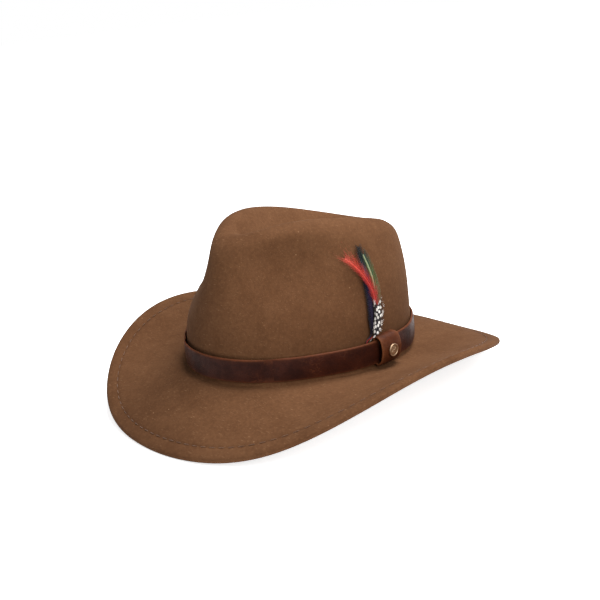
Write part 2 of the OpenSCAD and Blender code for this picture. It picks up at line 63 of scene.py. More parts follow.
Colour = tuple[float, float, float, float]


# ---------------------------------------------------------------- small helpers
def paint(red: float, green: float, blue: float) -> Colour:
    """A linear colour from a maker's 0-255 swatch values."""
    def linear(value: float) -> float:
        """One channel, with the display curve taken out."""
        share = value / 255
        return share / 12.92 if share <= 0.04045 else ((share + 0.055) / 1.055) ** 2.4
    return (linear(red), linear(green), linear(blue), 1.0)


def ease(share: float) -> float:
    """A smooth step from 0 to 1."""
    share = max(0.0, min(1.0, share))
    return share * share * (3 - 2 * share)


def curve_through(knots: list[Vector], steps: int, closed: bool = False) -> list[Vector]:
    """Points on a smooth curve through all the knots.

    Args:
        knots: the points to pass through, in order.
        steps: points made for each gap between knots.
        closed: whether the curve returns to its first knot.

    Returns:
        The points along the curve.
    """
    count = len(knots)
    gaps = count if closed else count - 1
    points = []
    for gap in range(gaps):
        if closed:
            a, b, c, d = (knots[(gap + k) % count] for k in (-1, 0, 1, 2))
        else:
            a, b, c, d = (knots[max(0, min(count - 1, gap + k))] for k in (-1, 0, 1, 2))
        for step in range(steps):
            u = step / steps
            points.append(0.5 * (2 * b + (c - a) * u + (2 * a - 5 * b + 4 * c - d) * u * u
                                 + (3 * b - a - 3 * c + d) * u ** 3))
    if not closed:
        points.append(knots[-1].copy())
    return points


def merged_copy(node: str) -> bmesh.types.BMesh:
    """A CAD node's shape with its loose triangles joined up, ready to be worked on."""
    bm = bmesh.new()
    bm.from_mesh(frame["nodes"][node].data)
    bmesh.ops.remove_doubles(bm, verts=bm.verts[:], dist=2e-6)
    return bm


def loft(sections: list[list[Vector]], marks: dict[str, list[list[float]]],
        ring: bool = False) -> bmesh.types.BMesh:
    """Sweeps a closed section through its stations, by extruding its loop again and again.

    Args:
        sections: the section's points at each station, all of one count.
        marks: point attributes to store, each as one list of values for each section.
        ring: whether the last station joins the first. If not, both ends are closed.

    Returns:
        The swept skin, with its faces pointing outwards.
    """
    bm = bmesh.new()
    layers = {name: bm.verts.layers.float.new(name) for name in marks}

    def place(verts: list[bmesh.types.BMVert], station: int) -> None:
        """Moves a loop's points to a station and stores their marks."""
        for index, (vert, spot) in enumerate(zip(verts, sections[station])):
            vert.co = spot
            for name, layer in layers.items():
                vert[layer] = marks[name][station][index]

    loop = [bm.verts.new(spot) for spot in sections[0]]
    place(loop, 0)
    count = len(loop)
    first = [bm.edges.new((loop[k], loop[(k + 1) % count])) for k in range(count)]
    edges = first
    for station in range(1, len(sections)):
        grown = bmesh.ops.extrude_edge_only(bm, edges=edges)["geom"]
        fresh = {part for part in grown if isinstance(part, bmesh.types.BMVert)}
        loop = [next(edge.other_vert(vert) for edge in vert.link_edges if edge.other_vert(vert) in fresh)
                for vert in loop]
        place(loop, station)
        edges = [bm.edges.get((loop[k], loop[(k + 1) % count])) for k in range(count)]
    if ring:
        bmesh.ops.bridge_loops(bm, edges=first + edges)
    else:
        bmesh.ops.holes_fill(bm, edges=first, sides=count)
        bmesh.ops.holes_fill(bm, edges=edges, sides=count)
    bmesh.ops.recalc_face_normals(bm, faces=bm.faces[:])
    return bm


def islands(bm: bmesh.types.BMesh) -> list[list[Vector]]:
    """The corner points of each separate solid in a mesh."""
    left = dict.fromkeys(bm.verts)
    found = []
    while left:
        seed = next(iter(left))
        del left[seed]
        group, queue = [seed], [seed]
        while queue:
            for edge in queue.pop().link_edges:
                for vert in edge.verts:
                    if vert in left:
                        del left[vert]
                        group.append(vert)
                        queue.append(vert)
        found.append([vert.co.copy() for vert in group])
    return found


def as_piece(bm: bmesh.types.BMesh, name: str, material: bpy.types.Material, body: str,
             replaces: tuple[str, ...] = (), levels: int = 0) -> bpy.types.Object:
    """Turns a finished mesh into a piece that rides on a body.

    Args:
        bm: the mesh, which is freed.
        name: the piece's name.
        material: its finish.
        body: the CAD body that it rides on.
        replaces: the CAD nodes that it stands for.
        levels: rounds of subdivision that smooth it.

    Returns:
        The piece.
    """
    mesh = bpy.data.meshes.new(name)
    bm.to_mesh(mesh)
    bm.free()
    mesh.shade_smooth()
    mesh.materials.append(material)
    piece = bpy.data.objects.new(name, mesh)
    bpy.context.scene.collection.objects.link(piece)
    if levels:
        smooth = piece.modifiers.new("smooth", "SUBSURF")
        smooth.levels = levels
        smooth.render_levels = levels
    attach(piece, body)
    if replaces:
        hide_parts(*replaces)
    LOG.info("%s rides on %s, %d faces before smoothing", name, body, len(mesh.polygons))
    return piece


def keep_node(node: str, material: bpy.types.Material) -> None:
    """Leaves a CAD node's shape as it is and gives it a better finish."""
    piece = frame["nodes"][node]
    if not piece.material_slots:
        piece.data.materials.append(material)
    for place in piece.material_slots:
        place.material = material
    LOG.info("%s keeps its CAD shape", node)


# ---------------------------------------------------------------- shader building
class Graph:
    """The nodes and links of one material or one shader group."""

    def __init__(self, tree: bpy.types.NodeTree) -> None:
        """Starts on an existing node tree."""
        self.tree = tree

    def put(self, socket: bpy.types.NodeSocket, value: object) -> None:
        """Links another node's output to a socket, or sets the socket's own value."""
        if isinstance(value, bpy.types.NodeSocket):
            self.tree.links.new(value, socket)
        else:
            socket.default_value = value

    def add(self, kind: str, inputs: dict[object, object] | None = None,
            **settings: object) -> bpy.types.Node:
        """Adds a node.

        Args:
            kind: the node's type name.
            inputs: values or other nodes' outputs, by socket name or number.
            settings: the node's own properties.

        Returns:
            The node.
        """
        node = self.tree.nodes.new(kind)
        for key, value in settings.items():
            setattr(node, key, value)
        for key, value in (inputs or {}).items():
            self.put(node.inputs[key], value)
        return node

    def math(self, operation: str, a: object, b: object = 0.0) -> bpy.types.NodeSocket:
        """The result of one sum on two numbers."""
        return self.add("ShaderNodeMath", {0: a, 1: b}, operation=operation).outputs[0]

    def blend(self, share: object, a: object, b: object, mode: str = "MIX") -> bpy.types.NodeSocket:
        """Two colours mixed by a share."""
        node = self.add("ShaderNodeMix", {0: share, 6: a, 7: b}, data_type="RGBA", blend_type=mode)
        return node.outputs[2]

    def spread(self, value: object, low: float, high: float, out_low: float = 0.0,
               out_high: float = 1.0) -> bpy.types.NodeSocket:
        """A value eased from one range to another."""
        return self.add("ShaderNodeMapRange", {"Value": value, "From Min": low, "From Max": high,
                                               "To Min": out_low, "To Max": out_high},
                        interpolation_type="SMOOTHSTEP").outputs[0]

    def noise(self, where: object, scale: object, detail: float = 3.0,
            roughness: float = 0.5) -> bpy.types.NodeSocket:
        """Cloudy noise from 0 to 1."""
        return self.add("ShaderNodeTexNoise", {"Vector": where, "Scale": scale, "Detail": detail,
                                               "Roughness": roughness}).outputs[0]

    def stretched(self, where: object, turn: tuple[float, float, float],
                  size: tuple[float, float, float]) -> bpy.types.NodeSocket:
        """Coordinates turned and stretched, for streaks and fibres."""
        return self.add("ShaderNodeMapping", {"Vector": where, "Rotation": turn, "Scale": size}).outputs[0]

    def mark(self, name: str) -> bpy.types.NodeSocket:
        """A number stored on the piece's own points."""
        return self.add("ShaderNodeAttribute", attribute_name=name).outputs["Fac"]

    def use(self, group: bpy.types.NodeTree, inputs: dict[str, object]) -> bpy.types.Node:
        """Places a shader group."""
        node = self.add("ShaderNodeGroup", node_tree=group)
        for key, value in inputs.items():
            self.put(node.inputs[key], value)
        return node

    def bump(self, height: object, depth: float, strength: float = 1.0,
             normal: object | None = None) -> bpy.types.NodeSocket:
        """A normal tilted by a height, which is depth metres at most."""
        inputs = {"Height": height, "Distance": depth, "Strength": strength}
        if normal is not None:
            inputs["Normal"] = normal
        return self.add("ShaderNodeBump", inputs).outputs[0]


class Group(Graph):
    """A shader group with a Vector input, named number inputs and number outputs."""

    def __init__(self, name: str, numbers: dict[str, float], outputs: tuple[str, ...]) -> None:
        """Makes the group's sockets."""
        super().__init__(bpy.data.node_groups.new(name, "ShaderNodeTree"))
        face = self.tree.interface
        face.new_socket("Vector", in_out="INPUT", socket_type="NodeSocketVector")
        for key, value in numbers.items():
            face.new_socket(key, in_out="INPUT", socket_type="NodeSocketFloat").default_value = value
        for key in outputs:
            face.new_socket(key, in_out="OUTPUT", socket_type="NodeSocketFloat")
        self.given = self.add("NodeGroupInput").outputs
        self.result = self.add("NodeGroupOutput").inputs

    def give(self, key: str, value: bpy.types.NodeSocket) -> None:
        """Sends a value out of the group."""
        self.put(self.result[key], value)


class Effects:
    """Shader groups that several finishes share."""

    def __init__(self) -> None:
        """Builds every group once."""
        self.mottle = self._mottle()
        self.fibres = self._fibres()
        self.grain = self._grain()
        self.scuffs = self._scuffs()
        self.weave = self._weave()

    def _mottle(self) -> bpy.types.NodeTree:
        """Broad, soft changes of tone, with smaller ones inside them."""
        group = Group("mottle", {"Scale": 20.0}, ("Tone",))
        where, scale = group.given["Vector"], group.given["Scale"]
        broad = group.noise(where, scale, 2.0)
        small = group.noise(where, group.math("MULTIPLY", scale, 5.0), 4.0, 0.6)
        mixed = group.math("ADD", group.math("MULTIPLY", broad, 0.62), group.math("MULTIPLY", small, 0.38))
        group.give("Tone", group.spread(mixed, 0.34, 0.66))
        return group.tree

    def _fibres(self) -> bpy.types.NodeTree:
        """Short hairs pressed flat in all directions, as in felt."""
        group = Group("fibres", {"Scale": 900.0}, ("Height", "Hair"))
        where, scale = group.given["Vector"], group.given["Scale"]
        height = None
        for turn in ((0.3, 0.2, 0.4), (1.2, 0.9, 1.5), (2.1, 1.7, 2.6), (0.8, 2.4, 0.9)):
            streak = group.noise(group.stretched(where, turn, (0.16, 1.0, 1.0)), scale, 2.0)
            height = streak if height is None else group.math("MAXIMUM", height, streak)
        group.give("Height", height)
        group.give("Hair", group.spread(height, 0.66, 0.78))
        return group.tree

    def _grain(self) -> bpy.types.NodeTree:
        """Leather's pebbles, with the creases between them."""
        group = Group("leather_grain", {"Scale": 900.0}, ("Height", "Crease"))
        where, scale = group.given["Vector"], group.given["Scale"]
        bent = group.add("ShaderNodeVectorMath", {0: where, 1: group.add(
            "ShaderNodeTexNoise", {"Vector": where, "Scale": 160.0}).outputs[1]}, operation="ADD")
        bent = group.add("ShaderNodeMix", {0: 0.0015, 4: where, 5: bent.outputs[0]},
                data_type="VECTOR").outputs[1]
        cells = group.add("ShaderNodeTexVoronoi", {"Vector": bent, "Scale": scale},
                          feature="DISTANCE_TO_EDGE").outputs[0]
        pebble = group.spread(cells, 0.0, 0.28)
        fine = group.noise(where, group.math("MULTIPLY", scale, 2.2), 3.0)
        group.give("Height", group.math("ADD", group.math("MULTIPLY", pebble, 0.7),
                                        group.math("MULTIPLY", fine, 0.3)))
        group.give("Crease", group.spread(cells, 0.0, 0.09, 1.0, 0.0))
        return group.tree

    def _scuffs(self) -> bpy.types.NodeTree:
        """Thin scratches here and there."""
        group = Group("scuffs", {"Scale": 60.0}, ("Mask",))
        where, scale = group.given["Vector"], group.given["Scale"]
        mask = None
        for turn in ((0.2, 0.5, 0.3), (0.5, 1.4, 2.0)):
            line = group.noise(group.stretched(where, turn, (0.12, 1.6, 1.6)), scale, 3.0)
            thin = group.spread(group.math("ABSOLUTE", group.math("SUBTRACT", line, 0.5)), 0.0, 0.012,
                    1.0, 0.0)
            mask = thin if mask is None else group.math("MAXIMUM", mask, thin)
        patch = group.spread(group.noise(where, group.math("MULTIPLY", scale, 0.6), 1.0), 0.54, 0.68)
        group.give("Mask", group.math("MULTIPLY", mask, patch))
        return group.tree

    def _weave(self) -> bpy.types.NodeTree:
        """Crossing threads, for tape, ribbon and satin."""
        group = Group("weave", {"Threads": 900.0}, ("Height", "Thread"))
        parts = group.add("ShaderNodeSeparateXYZ", {0: group.given["Vector"]}).outputs
        around = group.math("ADD", parts[0], parts[1])
        warp = group.math("SINE", group.math("MULTIPLY", around, group.given["Threads"]))
        weft = group.math("SINE", group.math("MULTIPLY", parts[2], group.given["Threads"]))
        height = group.math("MAXIMUM", group.math("ABSOLUTE", warp), group.math("ABSOLUTE", weft))
        group.give("Height", height)
        group.give("Thread", group.math("MULTIPLY", warp, weft))
        return group.tree


def blank_material(name: str) -> tuple[bpy.types.Material, Graph, bpy.types.Node, bpy.types.NodeSocket]:
    """A material with only its shader and its output.

    Args:
        name: the material's name.

    Returns:
        The material, its graph, its Principled shader and the Object coordinates.
    """
    material = bpy.data.materials.new(name)
    material.use_nodes = True
    material.node_tree.nodes.clear()
    graph = Graph(material.node_tree)
    shader = graph.add("ShaderNodeBsdfPrincipled")
    graph.add("ShaderNodeOutputMaterial", {"Surface": shader.outputs[0]})
    where = graph.add("ShaderNodeTexCoord").outputs["Object"]
    return material, graph, shader, where


# ---------------------------------------------------------------- finishes
@dataclass(frozen=True)
class FeltFinish:
    """Brushed wool felt: mottled, matt, with flattened hairs and a little lint."""

    name: str = "wool_felt"
    deep: Colour = paint(90, 59, 37)
    pale: Colour = paint(102, 69, 45)
    lint: Colour = paint(160, 122, 90)
    roughness: float = 0.95
    sheen: float = 0.06
    sheen_roughness: float = 0.45

    def build(self, effects: Effects) -> bpy.types.Material:
        """Makes the material."""
        material, graph, shader, where = blank_material(self.name)
        tone = graph.use(effects.mottle, {"Vector": where, "Scale": 16.0}).outputs["Tone"]
        fine = graph.noise(where, 420.0, 4.0, 0.65)
        fibres = graph.use(effects.fibres, {"Vector": where, "Scale": 1100.0})
        colour = graph.blend(tone, self.deep, self.pale)
        colour = graph.blend(graph.spread(fine, 0.3, 0.7, 0.0, 0.22), colour, self.deep, "MULTIPLY")
        colour = graph.blend(graph.math("MULTIPLY", fibres.outputs["Hair"], 0.3), colour, self.lint)
        specks = graph.add("ShaderNodeTexVoronoi", {"Vector": where, "Scale": 150.0}).outputs[0]
        rare = graph.spread(graph.noise(where, 60.0, 1.0), 0.58, 0.64)
        speck = graph.math("MULTIPLY", graph.spread(specks, 0.05, 0.11, 0.55, 0.0), rare)
        colour = graph.blend(speck, colour, self.lint)
        # painted shade: the felt's colour is darkened where the stitched groove is sunk
        groove = graph.mark("groove")
        colour = graph.blend(graph.math("MULTIPLY", groove, 0.2), colour, self.deep, "MULTIPLY")
        graph.put(shader.inputs["Base Color"], colour)
        graph.put(shader.inputs["Roughness"], graph.spread(tone, 0.0, 1.0, self.roughness,
                self.roughness - 0.05))
        shader.inputs["Specular IOR Level"].default_value = 0.1
        shader.inputs["Sheen Weight"].default_value = self.sheen
        shader.inputs["Sheen Roughness"].default_value = self.sheen_roughness
        shader.inputs["Sheen Tint"].default_value = paint(186, 142, 104)
        broad = graph.bump(graph.noise(where, 95.0, 4.0, 0.6), 0.0006, 0.35)
        graph.put(shader.inputs["Normal"], graph.bump(fibres.outputs["Height"], 0.0003, 0.55, broad))
        return material


@dataclass(frozen=True)
class LeatherFinish:
    """Finished leather: grain, pulled-up colour at the cut edges, scratches and a soft shine."""

    name: str
    deep: Colour
    pale: Colour
    edge: Colour
    edge_share: float = 0.8
    roughness: float = 0.46
    coat: float = 0.12
    grain: float = 1100.0
    grain_depth: float = 0.00012
    scratch: float = 0.4

    def build(self, effects: Effects) -> bpy.types.Material:
        """Makes the material."""
        material, graph, shader, where = blank_material(self.name)
        tone = graph.use(effects.mottle, {"Vector": where, "Scale": 45.0}).outputs["Tone"]
        grain = graph.use(effects.grain, {"Vector": where, "Scale": self.grain})
        scuffs = graph.use(effects.scuffs, {"Vector": where, "Scale": 70.0}).outputs["Mask"]
        colour = graph.blend(tone, self.deep, self.pale)
        colour = graph.blend(graph.math("MULTIPLY", grain.outputs["Crease"], 0.35), colour, self.deep,
                "MULTIPLY")
        colour = graph.blend(graph.math("MULTIPLY", scuffs, self.scratch), colour, self.edge)
        worn = graph.spread(graph.noise(where, 300.0, 4.0, 0.7), 0.3, 0.75, 0.55, 1.0)
        rim = graph.math("MULTIPLY", graph.math("MULTIPLY", graph.mark("edge"), worn), self.edge_share)
        colour = graph.blend(rim, colour, self.edge)
        graph.put(shader.inputs["Base Color"], colour)
        rough = graph.math("ADD", graph.spread(tone, 0.0, 1.0, self.roughness + 0.06, self.roughness - 0.05),
                           graph.math("MULTIPLY", rim, 0.3))
        graph.put(shader.inputs["Roughness"], rough)
        shader.inputs["Specular IOR Level"].default_value = 0.12
        shader.inputs["Coat Weight"].default_value = self.coat
        shader.inputs["Coat Roughness"].default_value = 0.32
        soft = graph.bump(graph.noise(where, 180.0, 3.0), 0.0004, 0.4)
        pebbled = graph.bump(grain.outputs["Height"], self.grain_depth, 0.7, soft)
        graph.put(shader.inputs["Normal"], graph.bump(graph.math("SUBTRACT", 0.0, scuffs), 0.0001, 0.6,
                pebbled))
        return material


@dataclass(frozen=True)
class MetalFinish:
    """Plated trim with darker recesses and brushed wear."""

    name: str
    bright: Colour
    dull: Colour
    roughness: float = 0.34

    def build(self, effects: Effects) -> bpy.types.Material:
        """Makes the material."""
        material, graph, shader, where = blank_material(self.name)
        tone = graph.use(effects.mottle, {"Vector": where, "Scale": 180.0}).outputs["Tone"]
        brushed = graph.noise(graph.stretched(where, (0.0, 0.3, 0.9), (0.2, 1.0, 1.0)), 2600.0, 2.0)
        hollow = graph.mark("hollow")
        dirt = graph.math("MAXIMUM", graph.math("MULTIPLY", hollow, 0.75), graph.math("MULTIPLY", tone, 0.3))
        graph.put(shader.inputs["Base Color"], graph.blend(dirt, self.bright, self.dull))
        shader.inputs["Metallic"].default_value = 1.0
        graph.put(shader.inputs["Roughness"], graph.math("ADD", graph.math("MULTIPLY", dirt, 0.25),
                self.roughness))
        graph.put(shader.inputs["Normal"], graph.bump(brushed, 0.00004, 0.5))
        return material


@dataclass(frozen=True)
class ThreadFinish:
    """Twisted sewing thread."""

    name: str
    colour: Colour
    dark: Colour

    def build(self, effects: Effects) -> bpy.types.Material:
        """Makes the material."""
        material, graph, shader, where = blank_material(self.name)
        twist = graph.add("ShaderNodeTexWave", {"Vector": where, "Scale": 900.0, "Distortion": 1.5},
                          bands_direction="DIAGONAL").outputs[1]
        tone = graph.use(effects.mottle, {"Vector": where, "Scale": 90.0}).outputs["Tone"]
        colour = graph.blend(graph.math("MULTIPLY", twist, 0.6), self.colour, self.dark)
        graph.put(shader.inputs["Base Color"], graph.blend(graph.math("MULTIPLY", tone, 0.3), colour,
                self.dark))
        shader.inputs["Roughness"].default_value = 0.8
        shader.inputs["Sheen Weight"].default_value = 0.2
        graph.put(shader.inputs["Normal"], graph.bump(twist, 0.0001, 0.8))
        return material


@dataclass(frozen=True)
class ClothFinish:
    """Woven cloth, from matt cotton tape to shiny satin."""

    name: str
    colour: Colour
    shade: Colour
    roughness: float = 0.8
    threads: float = 5200.0
    thread_depth: float = 0.00008
    sheen: float = 0.2

    def build(self, effects: Effects) -> bpy.types.Material:
        """Makes the material."""
        material, graph, shader, where = blank_material(self.name)
        tone = graph.use(effects.mottle, {"Vector": where, "Scale": 30.0}).outputs["Tone"]
        weave = graph.use(effects.weave, {"Vector": where, "Threads": self.threads})
        colour = graph.blend(tone, self.colour, self.shade)
        colour = graph.blend(graph.spread(weave.outputs["Thread"], -1.0, 1.0, 0.3, 0.0), colour,
                self.shade, "MULTIPLY")
        graph.put(shader.inputs["Base Color"], colour)
        graph.put(shader.inputs["Roughness"], graph.spread(tone, 0.0, 1.0, self.roughness - 0.04,
                self.roughness + 0.04))
        shader.inputs["Sheen Weight"].default_value = self.sheen
        folds = graph.bump(graph.noise(graph.stretched(where, (0.0, 0.0, 0.0), (1.0, 1.0, 0.3)), 70.0,
                3.0), 0.0012, 0.3)
        graph.put(shader.inputs["Normal"], graph.bump(weave.outputs["Height"], self.thread_depth, 0.6, folds))
        return material


@dataclass(frozen=True)
class PlasticFinish:
    """Slightly clouded moulded plastic."""

    name: str = "reed_plastic"
    colour: Colour = paint(226, 217, 196)
    shade: Colour = paint(198, 186, 160)

    def build(self, effects: Effects) -> bpy.types.Material:
        """Makes the material."""
        material, graph, shader, where = blank_material(self.name)
        tone = graph.use(effects.mottle, {"Vector": where, "Scale": 60.0}).outputs["Tone"]
        graph.put(shader.inputs["Base Color"], graph.blend(tone, self.colour, self.shade))
        shader.inputs["Roughness"].default_value = 0.45
        graph.put(shader.inputs["Normal"], graph.bump(graph.noise(where, 900.0, 3.0), 0.00004, 0.5))
        return material


class Plumage(Enum):
    """How a feather's colour is laid out."""

    PLAIN = "plain"
    SPOTTED = "spotted"
    STREAKED = "streaked"


@dataclass(frozen=True)
class FeatherFinish:
    """Barbs with colour that changes along the feather, and a silky gloss."""

    name: str
    stops: tuple[tuple[float, Colour], ...]
    plumage: Plumage = Plumage.PLAIN
    roughness: float = 0.42
    gloss: float = 0.5
    streak: Colour = paint(190, 196, 150)

    def build(self, effects: Effects) -> bpy.types.Material:
        """Makes the material."""
        material, graph, shader, where = blank_material(self.name)
        along = graph.mark("along")
        ramp = graph.add("ShaderNodeValToRGB", {0: along})
        ramp.color_ramp.interpolation = "B_SPLINE"
        while len(ramp.color_ramp.elements) < len(self.stops):
            ramp.color_ramp.elements.new(0.5)
        for stop, (place, colour) in zip(ramp.color_ramp.elements, self.stops):
            stop.position = place
            stop.color = colour
        barb = graph.mark("tone")
        colour = graph.blend(graph.spread(barb, 0.0, 1.0, 0.0, 0.45), ramp.outputs[0],
                (0.02, 0.015, 0.012, 1.0))
        cloud = graph.use(effects.mottle, {"Vector": where, "Scale": 160.0}).outputs["Tone"]
        colour = graph.blend(graph.math("MULTIPLY", cloud, 0.3), colour, self.stops[-1][1])
        if self.plumage is Plumage.SPOTTED:
            parts = graph.add("ShaderNodeSeparateXYZ", {0: where}).outputs
            flat = graph.add("ShaderNodeCombineXYZ",
                    {0: parts[1], 1: graph.math("MULTIPLY", parts[2], 0.86)}).outputs[0]
            cells = graph.add("ShaderNodeTexVoronoi", {"Vector": flat, "Scale": 330.0, "Randomness": 0.62},
                              voronoi_dimensions="2D").outputs[0]
            spot = graph.spread(cells, 0.3, 0.43, 1.0, 0.0)
            colour = graph.blend(spot, colour, self.streak)
        if self.plumage is Plumage.STREAKED:
            across = graph.math("ABSOLUTE", graph.math("SUBTRACT", graph.mark("across"), 0.25))
            line = graph.math("MULTIPLY", graph.spread(across, 0.0, 0.3, 1.0, 0.0),
                    graph.spread(along, 0.45, 0.75))
            colour = graph.blend(graph.math("MULTIPLY", line, 0.6), colour, self.streak)
        graph.put(shader.inputs["Base Color"], colour)
        shader.inputs["Roughness"].default_value = self.roughness
        shader.inputs["Specular IOR Level"].default_value = self.gloss
        shader.inputs["Sheen Weight"].default_value = 0.04
        fine = graph.noise(where, 2600.0, 2.0)
        graph.put(shader.inputs["Normal"], graph.bump(fine, 0.00005, 0.5))
        return material


# ---------------------------------------------------------------- where things sit
JOINTS = {joint["name"]: joint for joint in frame["joints"]}
KEEPER_BEARING = math.radians(-0.94)
COURSE_STEP = 8.0
NOISE_SEED = 7
@dataclass(frozen=True)
class Crown:
    """The hat's own upright frame, centred on the keeper's hinge."""

    hub_height: float = 15.05 * MM
    wall_radius: float = 121.15 * MM

    def to_row(self) -> Matrix:
        """Carries a point about the hinge of the upright hat to where the hat rests on its brim."""
        hinge = JOINTS["keeper_slide"]
        _, back, up = hinge["axis"]
        return (Matrix.Translation(Vector(hinge["pos_m"])) @ Matrix.Rotation(-math.atan2(back, up), 4, "X")
                @ Matrix.Translation((0.0, 0.0, -self.hub_height)))

    def around_hub(self, radius: float, angle: float, height: float) -> Vector:
        """A point on a circle about the keeper's centre, in metres and radians."""
        return self.to_row() @ Vector((radius * math.cos(angle), radius * math.sin(angle), height))


class Wall:
    """The outside of the felt, for pieces that lie along it."""

    def __init__(self) -> None:
        """Reads the felt's CAD shape."""
        bm = merged_copy("felt_body")
        self.tree = BVHTree.FromBMesh(bm)
        bm.free()

    def at(self, y: float, z: float, off: float) -> tuple[Vector, Vector]:
        """A place on the wearer's left of the crown.

        Args:
            y: how far back it is.
            z: its height.
            off: how far it stands off the felt.

        Returns:
            The point and the wall's outward direction there.
        """
        spot, normal, _, _ = self.tree.ray_cast(Vector((0.2, y, z)), Vector((-1.0, 0.0, 0.0)))
        return spot + normal * off, normal


# ---------------------------------------------------------------- felt
@dataclass
class FeltBody:
    """The blocked felt with its folded, stitched edge."""

    ribs: int = 80
    crease_ring: int = 29
    groove: float = 0.55 * MM
    shoulder: float = 1.3 * MM
    puff: float = 0.25 * MM
    wobble: float = 0.35 * MM

    def rings(self, bm: bmesh.types.BMesh) -> dict[bmesh.types.BMVert, tuple[int, int]]:
        """Numbers every point by its ring from the crown's middle and its rib from the front."""
        poles = [vert for vert in bm.verts if len(vert.link_edges) == self.ribs]
        layer, seen, ring = [max(poles, key=lambda vert: vert.co.z)], {}, 0
        while layer:
            middle = sum((vert.co.y for vert in layer)) / len(layer)
            order = sorted(layer, key=lambda vert: (
                math.atan2(vert.co.x, middle - vert.co.y) + 0.002) % math.tau)
            for rib, vert in enumerate(order):
                seen[vert] = (ring, rib)
            layer = list(dict.fromkeys(other for vert in layer for edge in vert.link_edges
                                       for other in (edge.other_vert(vert),) if other not in seen))
            ring += 1
        return seen

    def build(self, material: bpy.types.Material) -> None:
        """Smooths the CAD shape, sinks the stitched groove and puffs the edge."""
        bm = merged_copy("felt_body")
        seen = self.rings(bm)
        slants = [edge for edge in bm.edges
                  if seen[edge.verts[0]][0] != seen[edge.verts[1]][0]
                  and 1 < len({seen[vert][1] for vert in edge.verts})
                  and min(len(vert.link_edges) for vert in edge.verts) < self.ribs
                  and max(len(vert.link_edges) for vert in edge.verts) < self.ribs]
        raised = [(vert, vert.normal * self.puff) for vert, (ring, _) in seen.items()
                  if ring in (self.crease_ring + 1, self.crease_ring + 2)]
        crease = [edge for edge in bm.edges if all(seen[vert][0] == self.crease_ring for vert in edge.verts)]
        line = KDTree(len(crease))
        for index, edge in enumerate(crease):
            line.insert(edge.verts[0].co, index)
        line.balance()
        for vert, push in raised:
            vert.co += push
        bmesh.ops.dissolve_edges(bm, edges=slants, use_verts=False, use_face_split=False)
        bmesh.ops.bevel(bm, geom=crease, offset=self.shoulder, offset_type="OFFSET", segments=2, profile=0.5,
                        affect="EDGES", material=-1)
        # the felt's colour reads this mark as painted shade in the groove
        mark = bm.verts.layers.float.new("groove")
        bm.normal_update()
        sunk = [vert for vert in bm.verts if line.find(vert.co)[2] < 0.6 * MM and vert.normal.z > 0]
        for vert in sunk:
            vert.co -= vert.normal * self.groove
            vert[mark] = 1.0
        for vert in bm.verts:
            vert.co += noise_vector(vert.co * 22.0) * self.wobble
        as_piece(bm, "felt_hat_body", material, "hat", ("felt_body",), 1)


@dataclass
class Stitches:
    """Rows of thread, each stitch a rounded bar pulled into what it sews."""

    thickness: float = 0.28 * MM
    around: int = 8
    rings: int = 6

    def build(self, node: str, body: str, slot: str, material: bpy.types.Material) -> None:
        """Lays a rounded stitch over each of the CAD node's bars.

        Args:
            node: the CAD node with one bar for each stitch.
            body: the body that the row rides on.
            slot: the thread's material slot; not used.
            material: the thread's finish.
        """
        source = merged_copy(node)
        bars = islands(source)
        source.free()
        bm = bmesh.new()
        for bar in bars:
            middle = sum(bar, Vector()) / len(bar)
            arms = sorted(((a - b) for a in bar for b in bar if a is not b), key=lambda arm: arm.length)
            along = next(arm for arm in arms if arm.length > 1.5 * MM).normalized()
            reach = max((spot - middle).dot(along) for spot in bar)
            turn = along.to_track_quat("Z", "Y").to_matrix().to_4x4()
            size = Matrix.Diagonal((self.thickness, self.thickness, reach, 1.0))
            bmesh.ops.create_uvsphere(bm, u_segments=self.around, v_segments=self.rings, radius=1.0,
                                      matrix=Matrix.Translation(middle) @ turn @ size)
        as_piece(bm, f"{node}_thread", material, body, (node,))


